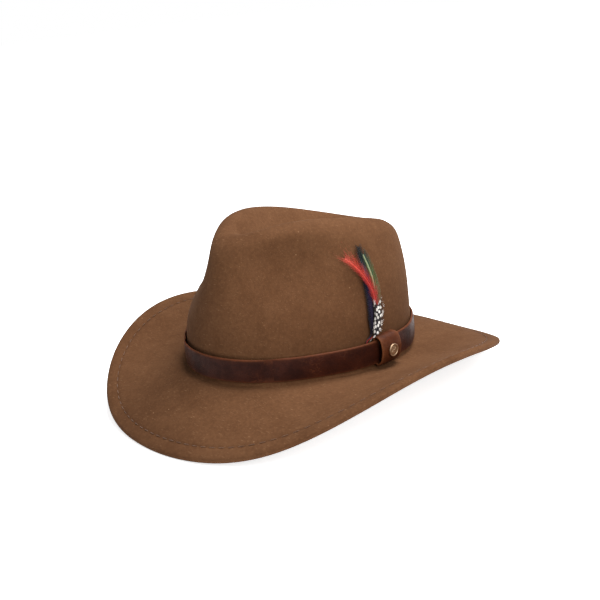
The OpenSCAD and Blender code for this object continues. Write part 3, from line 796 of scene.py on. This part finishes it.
# ---------------------------------------------------------------- leather band
@dataclass
class LeatherBand:
    """The strap round the crown: crowned outside, flat behind, with softened cut edges."""

    crown: float = 0.3 * MM
    soft: float = 0.55 * MM

    def stations(self) -> list[tuple[Vector, Vector, Vector]]:
        """The CAD strap's foot, its upward edge and its outward thickness at each station."""
        bm = merged_copy("hat_band")
        bm.normal_update()
        caps = [face for face in bm.faces if abs(face.normal.x) > 0.9 and face.calc_center_median().y > 0.07
                and 0 < face.calc_center_median().x < 0.02]
        layer = list(dict.fromkeys(vert for face in caps for vert in face.verts))
        seen = set(layer)
        found = []
        while layer:
            found.append(self.station(layer))
            layer = list(dict.fromkeys(other for vert in layer for edge in vert.link_edges
                                       for other in (edge.other_vert(vert),) if other not in seen))
            seen.update(layer)
        bm.free()
        return found

    def station(self, verts: list[bmesh.types.BMVert]) -> tuple[Vector, Vector, Vector]:
        """One station's foot, upward edge and outward thickness, from its six corners."""
        corners = [vert.co.copy() for vert in verts]
        low, top = max(((a, b) for a in corners for b in corners if a.z < b.z and abs(a.z - b.z) > 15 * MM),
                       key=lambda pair: -abs((pair[0].xy - pair[1].xy).length) - 0.2 * pair[0].xy.length)
        middle = (low + top) / 2
        up = (top - low)
        far = max(corners, key=lambda spot: (
            spot - middle - up * ((spot - middle).dot(up) / up.length_squared)).length)
        out = far - middle
        out -= up * (out.dot(up) / up.length_squared)
        return low, up, out

    def build(self, material: bpy.types.Material) -> None:
        """Sweeps the strap's section round the crown."""
        stations = self.stations()
        profile = [(0.0, 0.02), (0.25, 0.0), (0.5, 0.0), (0.75, 0.0), (1.0, 0.02)]
        edge_marks = [0.6, 0.0, 0.0, 0.0, 0.6]
        rim = [(1.012, 0.25), (1.012, 0.7), (0.985, 0.95)]
        face = [(0.93, 1.0), (0.8, 1.1), (0.65, 1.15), (0.5, 1.17), (0.35, 1.15), (0.2, 1.1), (0.07, 1.0)]
        foot = [(0.015, 0.95), (-0.012, 0.7), (-0.012, 0.25)]
        shape = profile + rim + face + foot
        edge_marks += [1.0, 1.0, 0.75] + [0.1, 0.0, 0.0, 0.0, 0.0, 0.0, 0.1] + [0.75, 1.0, 1.0]
        sections, edges = [], []
        for index, (low, up, out) in enumerate(stations):
            ragged = noise_vector(low * 60.0).x * 0.006
            sections.append([low + up * (w + (ragged if w > 0.9 else -ragged if w < 0.1 else 0.0)) + out * d
                             for w, d in shape])
            edges.append(edge_marks)
        bm = loft(sections, {"edge": edges})
        as_piece(bm, "leather_hat_band", material, "band", ("hat_band",), 1)


# ---------------------------------------------------------------- keeper and rivet
@dataclass
class KeeperLoop:
    """A strip of leather bent round the band into a loop, bulging off its face."""

    width: float = 22.0 * MM
    thick: float = 1.6 * MM
    middle: float = KEEPER_BEARING
    band_face: float = 3.2 * MM
    path: tuple[tuple[float, float], ...] = (
        (0.85, 26.3), (0.81, 17.0), (0.91, 8.6), (2.75, 4.9), (5.95, 3.75), (9.45, 6.2), (11.65, 11.2),
        (12.17, 15.8), (11.8, 20.6), (10.05, 25.2), (6.65, 27.9), (2.65, 28.1))

    def build(self, crown: Crown, material: bpy.types.Material) -> None:
        """Sweeps the strip's rounded section round its D-shaped path."""
        wall, inside = crown.wall_radius, Vector((crown.wall_radius + 6.45 * MM, 16 * MM, 0))
        outline = curve_through([Vector((wall + off * MM, z * MM, 0.0)) for off, z in self.path], 5,
                closed=True)
        half = self.width / 2
        shape, marks = [], []
        for w, d, edge in ((-0.95, 0, .25), (-0.5, 0, 0), (0, 0, 0), (0.5, 0, 0), (0.95, 0, .25),
                (0.988, .1, .9),
                           (1, .35, 1), (1, .65, 1), (0.988, .9, .9), (0.95, 1, .3), (0.5, 1, 0), (0, 1, 0),
                           (-0.5, 1, 0), (-0.95, 1, .3), (-0.988, .9, .9), (-1, .65, 1), (-1, .35, 1),
                           (-0.988, .1, .9)):
            shape.append((w * half, d * self.thick))
            marks.append(edge)
        sections = []
        count = len(outline)
        for index, spot in enumerate(outline):
            ahead = (outline[(index + 1) % count] - outline[index - 1]).normalized()
            inward = Vector((ahead.y, -ahead.x, 0.0))
            section = []
            for w, d in shape:
                r, z = (spot + inward * (-d if inward.dot(spot - inside) > 0 else d)).xy
                wave = noise_vector(Vector((w * 40, index * 0.2, 0.0))).x * 0.15 * MM * (abs(w) / half) ** 4
                section.append(crown.around_hub(r + wave,
                        self.middle + (w + wave) / (wall + self.band_face), z))
            sections.append(section)
        bm = loft(sections, {"edge": [marks] * count}, ring=True)
        as_piece(bm, "leather_keeper_loop", material, "keeper", ("keeper_loop",), 1)


@dataclass
class Rivet:
    """The keeper's rivet: a dished cap with a raised rim and a plain rosette."""

    radius: float = 5.2 * MM
    height: float = 15.8 * MM
    stand_off: float = 12.2 * MM
    petals: int = 6

    def place(self, crown: Crown) -> Matrix:
        """Carries the cap from its own axis to the keeper's face."""
        reach = crown.wall_radius + self.stand_off
        return (crown.to_row() @ Matrix.Translation((0, 0, self.height))
                @ Matrix.Rotation(KEEPER_BEARING, 4, "Z") @ Matrix.Translation((reach, 0, 0))
                @ Matrix.Rotation(math.pi / 2, 4, "Y"))

    def build(self, crown: Crown, material: bpy.types.Material) -> None:
        """Spins the cap and sets the rosette in it."""
        bm = bmesh.new()
        mark = bm.verts.layers.float.new("hollow")
        profile = ((0.0, 0.05, 0), (0.9, 0.05, 0), (0.98, 0.12, 0), (1.0, 0.4, 0), (1.0, 1.0, 0),
                (0.985, 1.3, 0),
                   (0.94, 1.42, 0), (0.88, 1.42, 0), (0.84, 1.3, 0), (0.81, 1.02, 1), (0.76, 0.95, 1),
                   (0.68, 0.98, .5), (0.5, 1.06, .3), (0.25, 1.12, .3), (0.0, 1.14, .3))
        verts = []
        for share, rise, hollow in profile:
            vert = bm.verts.new((share * self.radius, 0.0, rise * MM))
            vert[mark] = hollow
            verts.append(vert)
        edges = [bm.edges.new(pair) for pair in zip(verts, verts[1:])]
        bmesh.ops.spin(bm, geom=verts + edges, cent=(0, 0, 0), axis=(0, 0, 1), dvec=(0, 0, 0), angle=math.tau,
                       steps=48, use_merge=True)
        bmesh.ops.remove_doubles(bm, verts=bm.verts[:], dist=1e-6)
        for petal in range(self.petals):
            turn = Matrix.Rotation(petal * math.tau / self.petals, 4, "Z")
            bmesh.ops.create_uvsphere(bm, u_segments=12, v_segments=8, radius=1.0, matrix=turn
                                      @ Matrix.Translation((1.95 * MM, 0, 1.02 * MM))
                                      @ Matrix.Diagonal((1.25 * MM, 0.6 * MM, 0.3 * MM, 1.0)))
        bmesh.ops.create_uvsphere(bm, u_segments=16, v_segments=10, radius=1.0, matrix=Matrix.Translation(
            (0, 0, 1.1 * MM)) @ Matrix.Diagonal((0.75 * MM, 0.75 * MM, 0.4 * MM, 1.0)))
        bmesh.ops.recalc_face_normals(bm, faces=bm.faces[:])
        bmesh.ops.transform(bm, matrix=self.place(crown), verts=bm.verts[:])
        as_piece(bm, "rivet_cap_rosette", material, "keeper", ("rivet_cap",))


# ---------------------------------------------------------------- feathers
@dataclass
class Bunch:
    """The quills' shared axis behind the band."""

    foot: Vector = Vector((88.7, -16.3, 39.2)) * MM
    bearing: float = math.radians(-6.86)
    pitch: float = 0.9 * MM

    @property
    def axis(self) -> Vector:
        """The way the bunch pulls out."""
        return Vector(JOINTS["feather_pull"]["axis"]).normalized()

    @property
    def out(self) -> Vector:
        """Away from the crown, square to the quills."""
        level = Vector((math.cos(self.bearing), math.sin(self.bearing), 0.0))
        level.z = -level.dot(self.axis) / self.axis.z
        return level.normalized()

    @property
    def side(self) -> Vector:
        """Along the band, towards the back."""
        return self.axis.cross(self.out)


@dataclass
class Feather:
    """One feather: a quill behind the band, a shaft that follows the crown, and barbs on both sides."""

    name: str
    node: str
    slot: str
    place: float
    heights: tuple[float, float]
    ends: tuple[float, float]
    sway: float
    off: float
    width: tuple[float, float]
    start: float = 0.0
    spacing: float = 0.34
    angle: tuple[float, float] = (52.0, 24.0)
    ragged: float = 0.12
    bow: float = 0.18
    lift: float = 0.0
    blunt: float = 0.6
    barb: float = 0.3
    shaft: float = 0.42

    def course(self) -> list[tuple[float, float]]:
        """How far back and how high the shaft is, in millimetres, from the band to the tip."""
        (low, high), (foot, tip) = self.heights, self.ends
        steps = round((high - low) / COURSE_STEP)
        shares = [step / steps for step in range(steps + 1)]
        return [(foot + (tip - foot) * share + 4 * self.sway * share * (1 - share),
                low + (high - low) * share)
                for share in shares]

    def spine(self, wall: Wall, bunch: Bunch) -> tuple[list[Vector], list[Vector]]:
        """The shaft's points from the quill's foot to the tip, and the wall's direction at each."""
        side = bunch.side * (self.place * bunch.pitch)
        points = [bunch.foot + side + bunch.axis * rise * MM for rise in (0.2, 6.0, 12.0, 18.0)]
        normals = [bunch.out.copy() for _ in points]
        course = self.course()
        count = len(course)
        for index, (y, z) in enumerate(course):
            rise = self.lift * (index / max(1, count - 1)) ** 2
            spot, normal = wall.at(y * MM, z * MM, (self.off + rise) * MM)
            points.append(spot)
            normals.append(normal)
        smooth = curve_through(points, 8)
        facing = [vector.normalized() for vector in curve_through(normals, 8)]
        return smooth, facing

    def shape(self, share: float) -> float:
        """The vane's width along the feather, as a share of its widest."""
        tip = max(0.0, (share - self.blunt) / (1 - self.blunt))
        return (0.25 + 0.75 * ease(share / 0.22)) * math.sqrt(max(0.0, 1 - tip * tip) + 0.03)

    def build(self, wall: Wall, bunch: Bunch, material: bpy.types.Material) -> None:
        """Lofts the shaft and lays the barbs along it."""
        dice = random.Random(self.name)
        points, facing = self.spine(wall, bunch)
        bm = self.shaft_mesh(points, facing)
        template = self.barb_template()
        layers = {key: bm.verts.layers.float[key] for key in ("along", "across", "tone")}
        lengths = [0.0]
        for a, b in zip(points, points[1:]):
            lengths.append(lengths[-1] + (b - a).length)
        blade = lengths[32] + self.start * MM
        total = lengths[-1] - blade
        count = int(total / (self.spacing * MM))
        for index in range(count):
            share = (index + 0.5) / count
            reach = blade + share * total
            spot = next(k for k in range(1, len(lengths)) if lengths[k] >= reach)
            mix = (reach - lengths[spot - 1]) / max(1e-9, lengths[spot] - lengths[spot - 1])
            root = points[spot - 1].lerp(points[spot], mix)
            ahead = (points[spot] - points[spot - 1]).normalized()
            up = facing[spot]
            sideways = ahead.cross(up).normalized()
            for sign, width in ((-1, self.width[0]), (1, self.width[1])):
                self.lay_barb(bm, template, layers, dice, root, ahead, sideways * -sign, up, share,
                              sign, width * MM * self.shape(share))
        template_free(template)
        as_piece(bm, self.name, material, "feathers", (self.node,))

    def shaft_mesh(self, points: list[Vector], facing: list[Vector]) -> bmesh.types.BMesh:
        """The tapering quill and shaft."""
        sections = []
        for index, (spot, up) in enumerate(zip(points, facing)):
            share = index / (len(points) - 1)
            radius = self.shaft * MM * (1 - 0.8 * share)
            ahead = (points[min(index + 1, len(points) - 1)] - points[max(index - 1, 0)]).normalized()
            across = ahead.cross(up).normalized()
            sections.append([spot + (across * math.cos(turn) + up * math.sin(turn) * 0.8) * radius
                             for turn in (k * math.tau / 6 for k in range(6))])
        rows = len(sections)
        return loft(sections, {"along": [[row / rows] * 6 for row in range(rows)],
                               "across": [[0.0] * 6] * rows, "tone": [[0.2] * 6] * rows})

    def barb_template(self) -> bpy.types.Mesh:
        """A thin rod with five rings, along Z from 0 to 1."""
        bm = bmesh.new()
        bmesh.ops.create_cone(bm, cap_ends=True, segments=4, radius1=1.0, radius2=0.22, depth=1.0,
                              matrix=Matrix.Translation((0, 0, 0.5)))
        for cut in (0.25, 0.5, 0.75):
            bmesh.ops.bisect_plane(bm, geom=bm.verts[:] + bm.edges[:] + bm.faces[:], plane_co=(0, 0, cut),
                                   plane_no=(0, 0, 1))
        for key in ("along", "across", "tone"):
            bm.verts.layers.float.new(key)
        mesh = bpy.data.meshes.new("barb")
        bm.to_mesh(mesh)
        bm.free()
        return mesh

    def lay_barb(self, bm: bmesh.types.BMesh, template: bpy.types.Mesh, layers: dict, dice: random.Random,
                 root: Vector, ahead: Vector, sideways: Vector, up: Vector, share: float, sign: int,
                 width: float) -> None:
        """Adds one barb, bent towards the tip.

        Args:
            bm: the feather's mesh.
            template: the straight rod.
            layers: the mesh's point attributes.
            dice: the feather's own random numbers.
            root: where the barb leaves the shaft.
            ahead: towards the feather's tip.
            sideways: away from the shaft.
            up: away from the felt.
            share: how far along the feather it is.
            sign: which side of the shaft it is on.
            width: how far the vane reaches there.
        """
        angle = math.radians(self.angle[0] + (self.angle[1] - self.angle[0]) * share + dice.uniform(-1,
                1) * 20
                             * self.ragged)
        bend = self.bow * (1 + dice.uniform(-1, 1) * self.ragged * 3)
        length = width / max(0.2, math.sin(angle) - bend / 2) * (1 + dice.uniform(-1, 1) * self.ragged)
        rise = dice.uniform(-0.1, 0.5) * self.ragged * width
        tone = dice.random()
        start = len(bm.verts)
        bm.from_mesh(template)
        bm.verts.ensure_lookup_table()
        flat = self.barb * MM
        for vert in bm.verts[start:]:
            x, y, t = vert.co
            out = math.sin(angle) * t - bend * 0.5 * t * t
            fore = math.cos(angle) * t + bend * 0.35 * t * t
            vert.co = (root + (sideways * out + ahead * fore) * length + up * (rise * t * t + 0.05 * MM)
                       + ahead * (x * flat * (1 - 0.35 * t)) + up * (y * 0.09 * MM))
            vert[layers["along"]] = min(1.0, share + 0.12 * t)
            vert[layers["across"]] = sign * t
            vert[layers["tone"]] = tone


def template_free(mesh: bpy.types.Mesh) -> None:
    """Removes a mesh that was only a template."""
    bpy.data.meshes.remove(mesh)


@dataclass
class QuillBinding:
    """Thread wound round the quills behind the band."""

    turns: int = 7
    start: float = 4.6 * MM
    pitch: float = 0.75 * MM
    half_width: float = 3.1 * MM
    half_depth: float = 0.95 * MM
    thread: float = 0.36 * MM

    def build(self, bunch: Bunch, material: bpy.types.Material) -> None:
        """Winds one thread in a flat coil round the quills."""
        steps = self.turns * 24
        path = []
        for step in range(steps + 1):
            turn = step / 24 * math.tau
            path.append(bunch.foot + bunch.axis * (self.start + step / 24 * self.pitch)
                        + bunch.side * (math.cos(turn) * self.half_width)
                        + bunch.out * (math.sin(turn) * self.half_depth))
        sections = []
        for index, spot in enumerate(path):
            ahead = (path[min(index + 1, steps)] - path[max(index - 1, 0)]).normalized()
            across = bunch.axis - ahead * bunch.axis.dot(ahead)
            across.normalize()
            outward = ahead.cross(across)
            sections.append([spot + (across * math.cos(a) + outward * math.sin(a)) * self.thread
                             for a in (k * math.tau / 6 for k in range(6))])
        bm = loft(sections, {})
        as_piece(bm, "quill_binding_thread", material, "feathers", ("quill_binding",))


# ---------------------------------------------------------------- inside the hat
@dataclass
class SoftShell:
    """A soft CAD layer inside the hat, made smooth and slightly uneven."""

    node: str
    slot: str
    ripple: float
    ripples: float
    levels: int = 1

    def build(self, material: bpy.types.Material) -> None:
        """Joins the CAD triangles into quads, ripples them a little and smooths them."""
        bm = merged_copy(self.node)
        bmesh.ops.join_triangles(bm, faces=bm.faces[:], angle_face_threshold=0.9,
                angle_shape_threshold=math.pi)
        for vert in bm.verts:
            wave = noise_vector(Vector((vert.co.x, vert.co.y, vert.co.z * 0.25)) * self.ripples)
            vert.co += Vector((wave.x, wave.y, 0.0)) * self.ripple
        bm.verts.layers.float.new("edge")
        as_piece(bm, f"{self.node}_soft", material, "hat", (self.node,), self.levels)


@dataclass
class RibbonBow:
    """A flat ribbon bow over the sweatband's joint."""

    ribbon: float = 0.35 * MM

    def loop(self, side: int, middle: Vector) -> bmesh.types.BMesh:
        """One loop of ribbon, from the knot out and back."""
        knots = [Vector((x * MM, d * MM, h * MM)) for x, d, h in
                 ((0.4, 0.35, 0.9), (3.0, 1.0, 1.8), (6.5, 1.1, 2.7), (8.9, 0.55, 2.6), (8.9, -0.1, 2.6),
                  (6.5, -0.35, 2.7), (3.0, -0.3, 1.8), (0.4, -0.1, 0.9))]
        path = curve_through(knots, 4)
        sections = []
        for index, knot in enumerate(path):
            ahead = path[min(index + 1, len(path) - 1)] - path[max(index - 1, 0)]
            thick = Vector((-ahead.y, ahead.x)).normalized() * self.ribbon / 2
            corners = []
            for high, face in ((1, 1), (0.3, 1), (-0.3, 1), (-1, 1), (-1, -1), (-0.3, -1), (0.3, -1),
                    (1, -1)):
                corners.append(middle + Vector((side * (knot.x + face * thick.x), -(knot.y + face * thick.y),
                                                high * knot.z)))
            sections.append(corners)
        return loft(sections, {})

    def build(self, material: bpy.types.Material) -> None:
        """Makes both loops and the knot."""
        low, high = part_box("sweatband_bow")
        middle = (low + high) / 2
        bm = self.loop(1, middle)
        other = self.loop(-1, middle)
        mesh = bpy.data.meshes.new("bow_half")
        other.to_mesh(mesh)
        other.free()
        bm.from_mesh(mesh)
        template_free(mesh)
        bmesh.ops.create_uvsphere(bm, u_segments=16, v_segments=10, radius=1.0, matrix=Matrix.Translation(
            middle + Vector((0, -0.5 * MM, 0))) @ Matrix.Diagonal((1.7 * MM, 1.25 * MM, 1.9 * MM, 1.0)))
        bmesh.ops.recalc_face_normals(bm, faces=bm.faces[:])
        as_piece(bm, "sweatband_ribbon_bow", material, "hat", ("sweatband_bow",), 1)


# ---------------------------------------------------------------- studio
@dataclass
class Studio:
    """A pale floor, a white surround, soft lights and the camera."""

    camera_at: Vector = Vector((0.579195, -0.589240, 0.342739))
    target: Vector = Vector((0.0, 0.00054, 0.07675))
    roll: float = math.radians(5.071)
    lens: float = 60.83
    shift: tuple[float, float] = (0.0038, -0.0066)
    fill: float = 0.3
    floor_glow: float = 0.75

    def build_camera(self) -> None:
        """Places the camera."""
        back = (self.camera_at - self.target).normalized()
        level = Vector((-back.y, back.x, 0.0)).normalized()
        upright = back.cross(level)
        right = level * math.cos(self.roll) - upright * math.sin(self.roll)
        up = level * math.sin(self.roll) + upright * math.cos(self.roll)
        data = bpy.data.cameras.new("camera")
        data.lens = self.lens
        data.sensor_width = 36.0
        data.shift_x, data.shift_y = self.shift
        camera = bpy.data.objects.new("camera", data)
        camera.matrix_world = Matrix.Translation(self.camera_at) @ Matrix((right, up,
                back)).transposed().to_4x4()
        bpy.context.scene.collection.objects.link(camera)
        bpy.context.scene.camera = camera

    def light(self, name: str, spot: tuple[float, float, float], size: float, power: float) -> None:
        """Adds a square soft light that faces the hat."""
        data = bpy.data.lights.new(name, "AREA")
        data.size = size
        data.energy = power
        lamp = bpy.data.objects.new(name, data)
        lamp.location = spot
        lamp.rotation_euler = (Vector(spot) - self.target).to_track_quat("Z", "Y").to_euler()
        bpy.context.scene.collection.objects.link(lamp)

    def build(self) -> None:
        """Makes the floor, the surround and the lights."""
        self.build_camera()
        bm = bmesh.new()
        bmesh.ops.create_grid(bm, x_segments=2, y_segments=2, size=6.0)
        mesh = bpy.data.meshes.new("floor")
        bm.to_mesh(mesh)
        bm.free()
        floor = bpy.data.objects.new("floor", mesh)
        bpy.context.scene.collection.objects.link(floor)
        material, graph, shader, where = blank_material("pale_floor")
        shader.inputs["Base Color"].default_value = (0.98, 0.98, 0.98, 1.0)
        shader.inputs["Roughness"].default_value = 1.0
        shader.inputs["Specular IOR Level"].default_value = 0.0
        shader.inputs["Emission Color"].default_value = (1.0, 1.0, 1.0, 1.0)
        direct = graph.add("ShaderNodeLightPath").outputs["Is Camera Ray"]
        graph.put(shader.inputs["Emission Strength"], graph.math("MULTIPLY", direct, self.floor_glow))
        mesh.materials.append(material)
        world = bpy.data.worlds.new("surround")
        world.use_nodes = True
        sky = Graph(world.node_tree)
        seen = sky.add("ShaderNodeLightPath").outputs["Is Camera Ray"]
        backdrop = world.node_tree.nodes["Background"]
        backdrop.inputs[0].default_value = (1.0, 1.0, 1.0, 1.0)
        sky.put(backdrop.inputs[1], sky.spread(seen, 0.0, 1.0, self.fill, 1.0))
        bpy.context.scene.world = world
        bpy.context.scene.view_settings.view_transform = "Standard"
        self.light("overhead", (0.16, 0.36, 1.3), 0.8, 26.0)
        self.light("side", (1.1, -0.35, 0.75), 0.7, 10.0)


# ---------------------------------------------------------------- the whole hat
FEATHERS = (
    Feather("black_tail_feather", "black_feather", "black_feather", -0.5,
            (62.0, 127.5), (-11.0, 1.5), 1.5, 2.6, (3.5, 3.5), lift=1.0, blunt=0.86, angle=(46.0, 30.0),
            spacing=0.28),
    Feather("green_wing_feather", "green_feather", "green_feather", 0.5,
            (62.0, 121.0), (-10.5, 3.5), 5.5, 3.6, (3.8, 3.6), lift=0.6, blunt=0.8, spacing=0.24),
    Feather("olive_side_feather", "olive_feather", "olive_feather", 1.5,
            (62.0, 108.0), (-10.0, 8.5), 6.0,
            1.8, (1.5, 1.7), ragged=0.3, spacing=0.36, angle=(32.0, 18.0), blunt=0.35),
    Feather("red_hackle_feather", "red_hackle", "red_feather", -1.5,
            (62.0, 121.5), (-9.5, -12.0), 9.0, 4.6, (4.2, 4.2), start=12.0, ragged=0.5, spacing=0.2,
            angle=(34.0, 26.0), bow=0.1, blunt=0.75, barb=0.26, lift=1.2),
    Feather("guinea_spotted_feather", "guinea_feather", "spotted_feather", 2.5,
            (61.5, 82.5), (-10.5, -2.0), 1.5, 5.6, (5.6, 5.4),
            start=-3.0, blunt=0.8, angle=(58.0, 34.0), spacing=0.24, lift=0.3),
    Feather("dark_side_feather", "dark_feather", "black_feather", -2.5,
            (62.0, 105.0), (-11.5, -3.0), 0.0, 1.7, (2.5, 2.4),
            ragged=0.2, blunt=0.6, angle=(42.0, 22.0), spacing=0.3),
)


def main() -> None:
    """Builds the hat, class by class, and reports each piece."""
    logging.basicConfig(level=logging.INFO, format="%(name)s: %(message)s")
    seed_set(NOISE_SEED)
    effects = Effects()
    crown = Crown()
    wall = Wall()
    Studio().build()

    felt = FeltFinish().build(effects)
    band_leather = LeatherFinish("band_leather", paint(42, 15, 8), paint(62, 27, 16), paint(112, 62, 36),
                                 roughness=0.46, coat=0.0).build(effects)
    keeper_leather = LeatherFinish("keeper_leather", paint(60, 27, 13), paint(82, 41, 21), paint(140, 84, 50),
                                   roughness=0.46, coat=0.02, scratch=0.25).build(effects)
    sweat_leather = LeatherFinish("sweat_leather", paint(150, 104, 68), paint(172, 124, 84),
            paint(196, 152, 110),
                                  roughness=0.58, coat=0.0, grain=1400.0, scratch=0.15).build(effects)
    brass = MetalFinish("brass_trim", paint(208, 178, 146), paint(120, 92, 68), 0.4).build(effects)
    steel = MetalFinish("steel_wire", paint(190, 190, 192), paint(120, 120, 122)).build(effects)
    felt_thread = ThreadFinish("felt_thread", paint(112, 77, 52), paint(88, 58, 38)).build(effects)
    cream_thread = ThreadFinish("cream_thread", paint(222, 208, 176), paint(180, 160, 120)).build(effects)
    tape = ClothFinish("cotton_tape", paint(196, 172, 134), paint(160, 134, 98)).build(effects)
    ribbon = ClothFinish("bow_ribbon", paint(58, 40, 30), paint(34, 22, 16), 0.5, 3600.0,
            0.0001).build(effects)
    satin = ClothFinish("satin_lining", paint(170, 124, 70), paint(138, 96, 50), 0.36, 9000.0, 0.00003,
            0.4).build(effects)
    reed = PlasticFinish().build(effects)
    plumes = {
        "black_feather": FeatherFinish("black_feather", (
            # painted sheen and glint: the violet, blue and teal stops lay the feather's iridescent shine into
            # its near-black colour along its length
            (0.0, paint(16, 14, 22)), (0.25, paint(24, 22, 52)), (0.45, paint(52, 34, 78)),
            (0.62, paint(30, 40, 88)),
            (0.76, paint(28, 74, 84)), (0.86, paint(16, 28, 32)), (1.0, paint(8, 10, 12))),
            roughness=0.4, gloss=0.25),
        "green_feather": FeatherFinish("green_feather", (
            (0.0, paint(44, 38, 20)), (0.4, paint(74, 74, 30)), (0.7, paint(72, 98, 36)),
            (0.9, paint(46, 84, 46)),
            (1.0, paint(24, 52, 50))), Plumage.STREAKED, 0.45, 0.3),
        "olive_feather": FeatherFinish("olive_feather", (
            (0.0, paint(58, 40, 20)), (0.5, paint(92, 70, 34)), (1.0, paint(98, 88, 42)))),
        "red_feather": FeatherFinish("red_feather", (
            (0.0, paint(120, 10, 12)), (0.3, paint(178, 20, 20)), (0.6, paint(196, 34, 26)),
            (0.85, paint(206, 62, 44)),
            (1.0, paint(216, 92, 72))), roughness=0.5, gloss=0.35),
        "spotted_feather": FeatherFinish("spotted_feather", (
            (0.0, paint(16, 14, 18)), (0.5, paint(22, 20, 26)), (1.0, paint(30, 26, 30))), Plumage.SPOTTED,
            0.5, 0.2, paint(236, 232, 226)),
        "dark_feather": FeatherFinish("dark_side_feather", (
            (0.0, paint(20, 16, 20)), (0.6, paint(34, 22, 40)), (1.0, paint(20, 18, 28))), roughness=0.4),
    }

    FeltBody().build(felt)
    Stitches().build("brim_stitching", "hat", "felt_thread", felt_thread)
    keep_node("brim_wire", steel)
    keep_node("wire_joiner", brass)

    LeatherBand().build(band_leather)
    Stitches(0.34 * MM).build("band_stitching", "band", "cream_thread", felt_thread)
    KeeperLoop().build(crown, keeper_leather)
    Rivet().build(crown, brass)
    keep_node("rivet_post", brass)
    keep_node("rivet_burr", brass)

    bunch = Bunch()
    dressed = {key: plume.build(effects) for key, plume in plumes.items()}
    for feather in FEATHERS:
        dress = "dark_feather" if feather.node == "dark_feather" else feather.slot
        feather.build(wall, bunch, dressed[dress])
    QuillBinding().build(bunch, ThreadFinish("binding_thread", paint(96, 20, 22),
            paint(54, 10, 12)).build(effects))

    SoftShell("sweatband", "sweat_leather", 0.25 * MM, 30.0).build(sweat_leather)
    Stitches(0.26 * MM).build("sweatband_stitching", "hat", "cream_thread", cream_thread)
    SoftShell("sweatband_tape", "cotton_tape", 0.1 * MM, 40.0).build(tape)
    keep_node("sweatband_reed", reed)
    SoftShell("lining_side", "satin_lining", 0.3 * MM, 34.0).build(satin)
    SoftShell("lining_tip", "satin_lining", 0.3 * MM, 34.0).build(satin)
    RibbonBow().build(ribbon)
    SoftShell("size_tab", "cotton_tape", 0.0, 1.0, 0).build(tape)


if __name__ == "__main__":
    main()
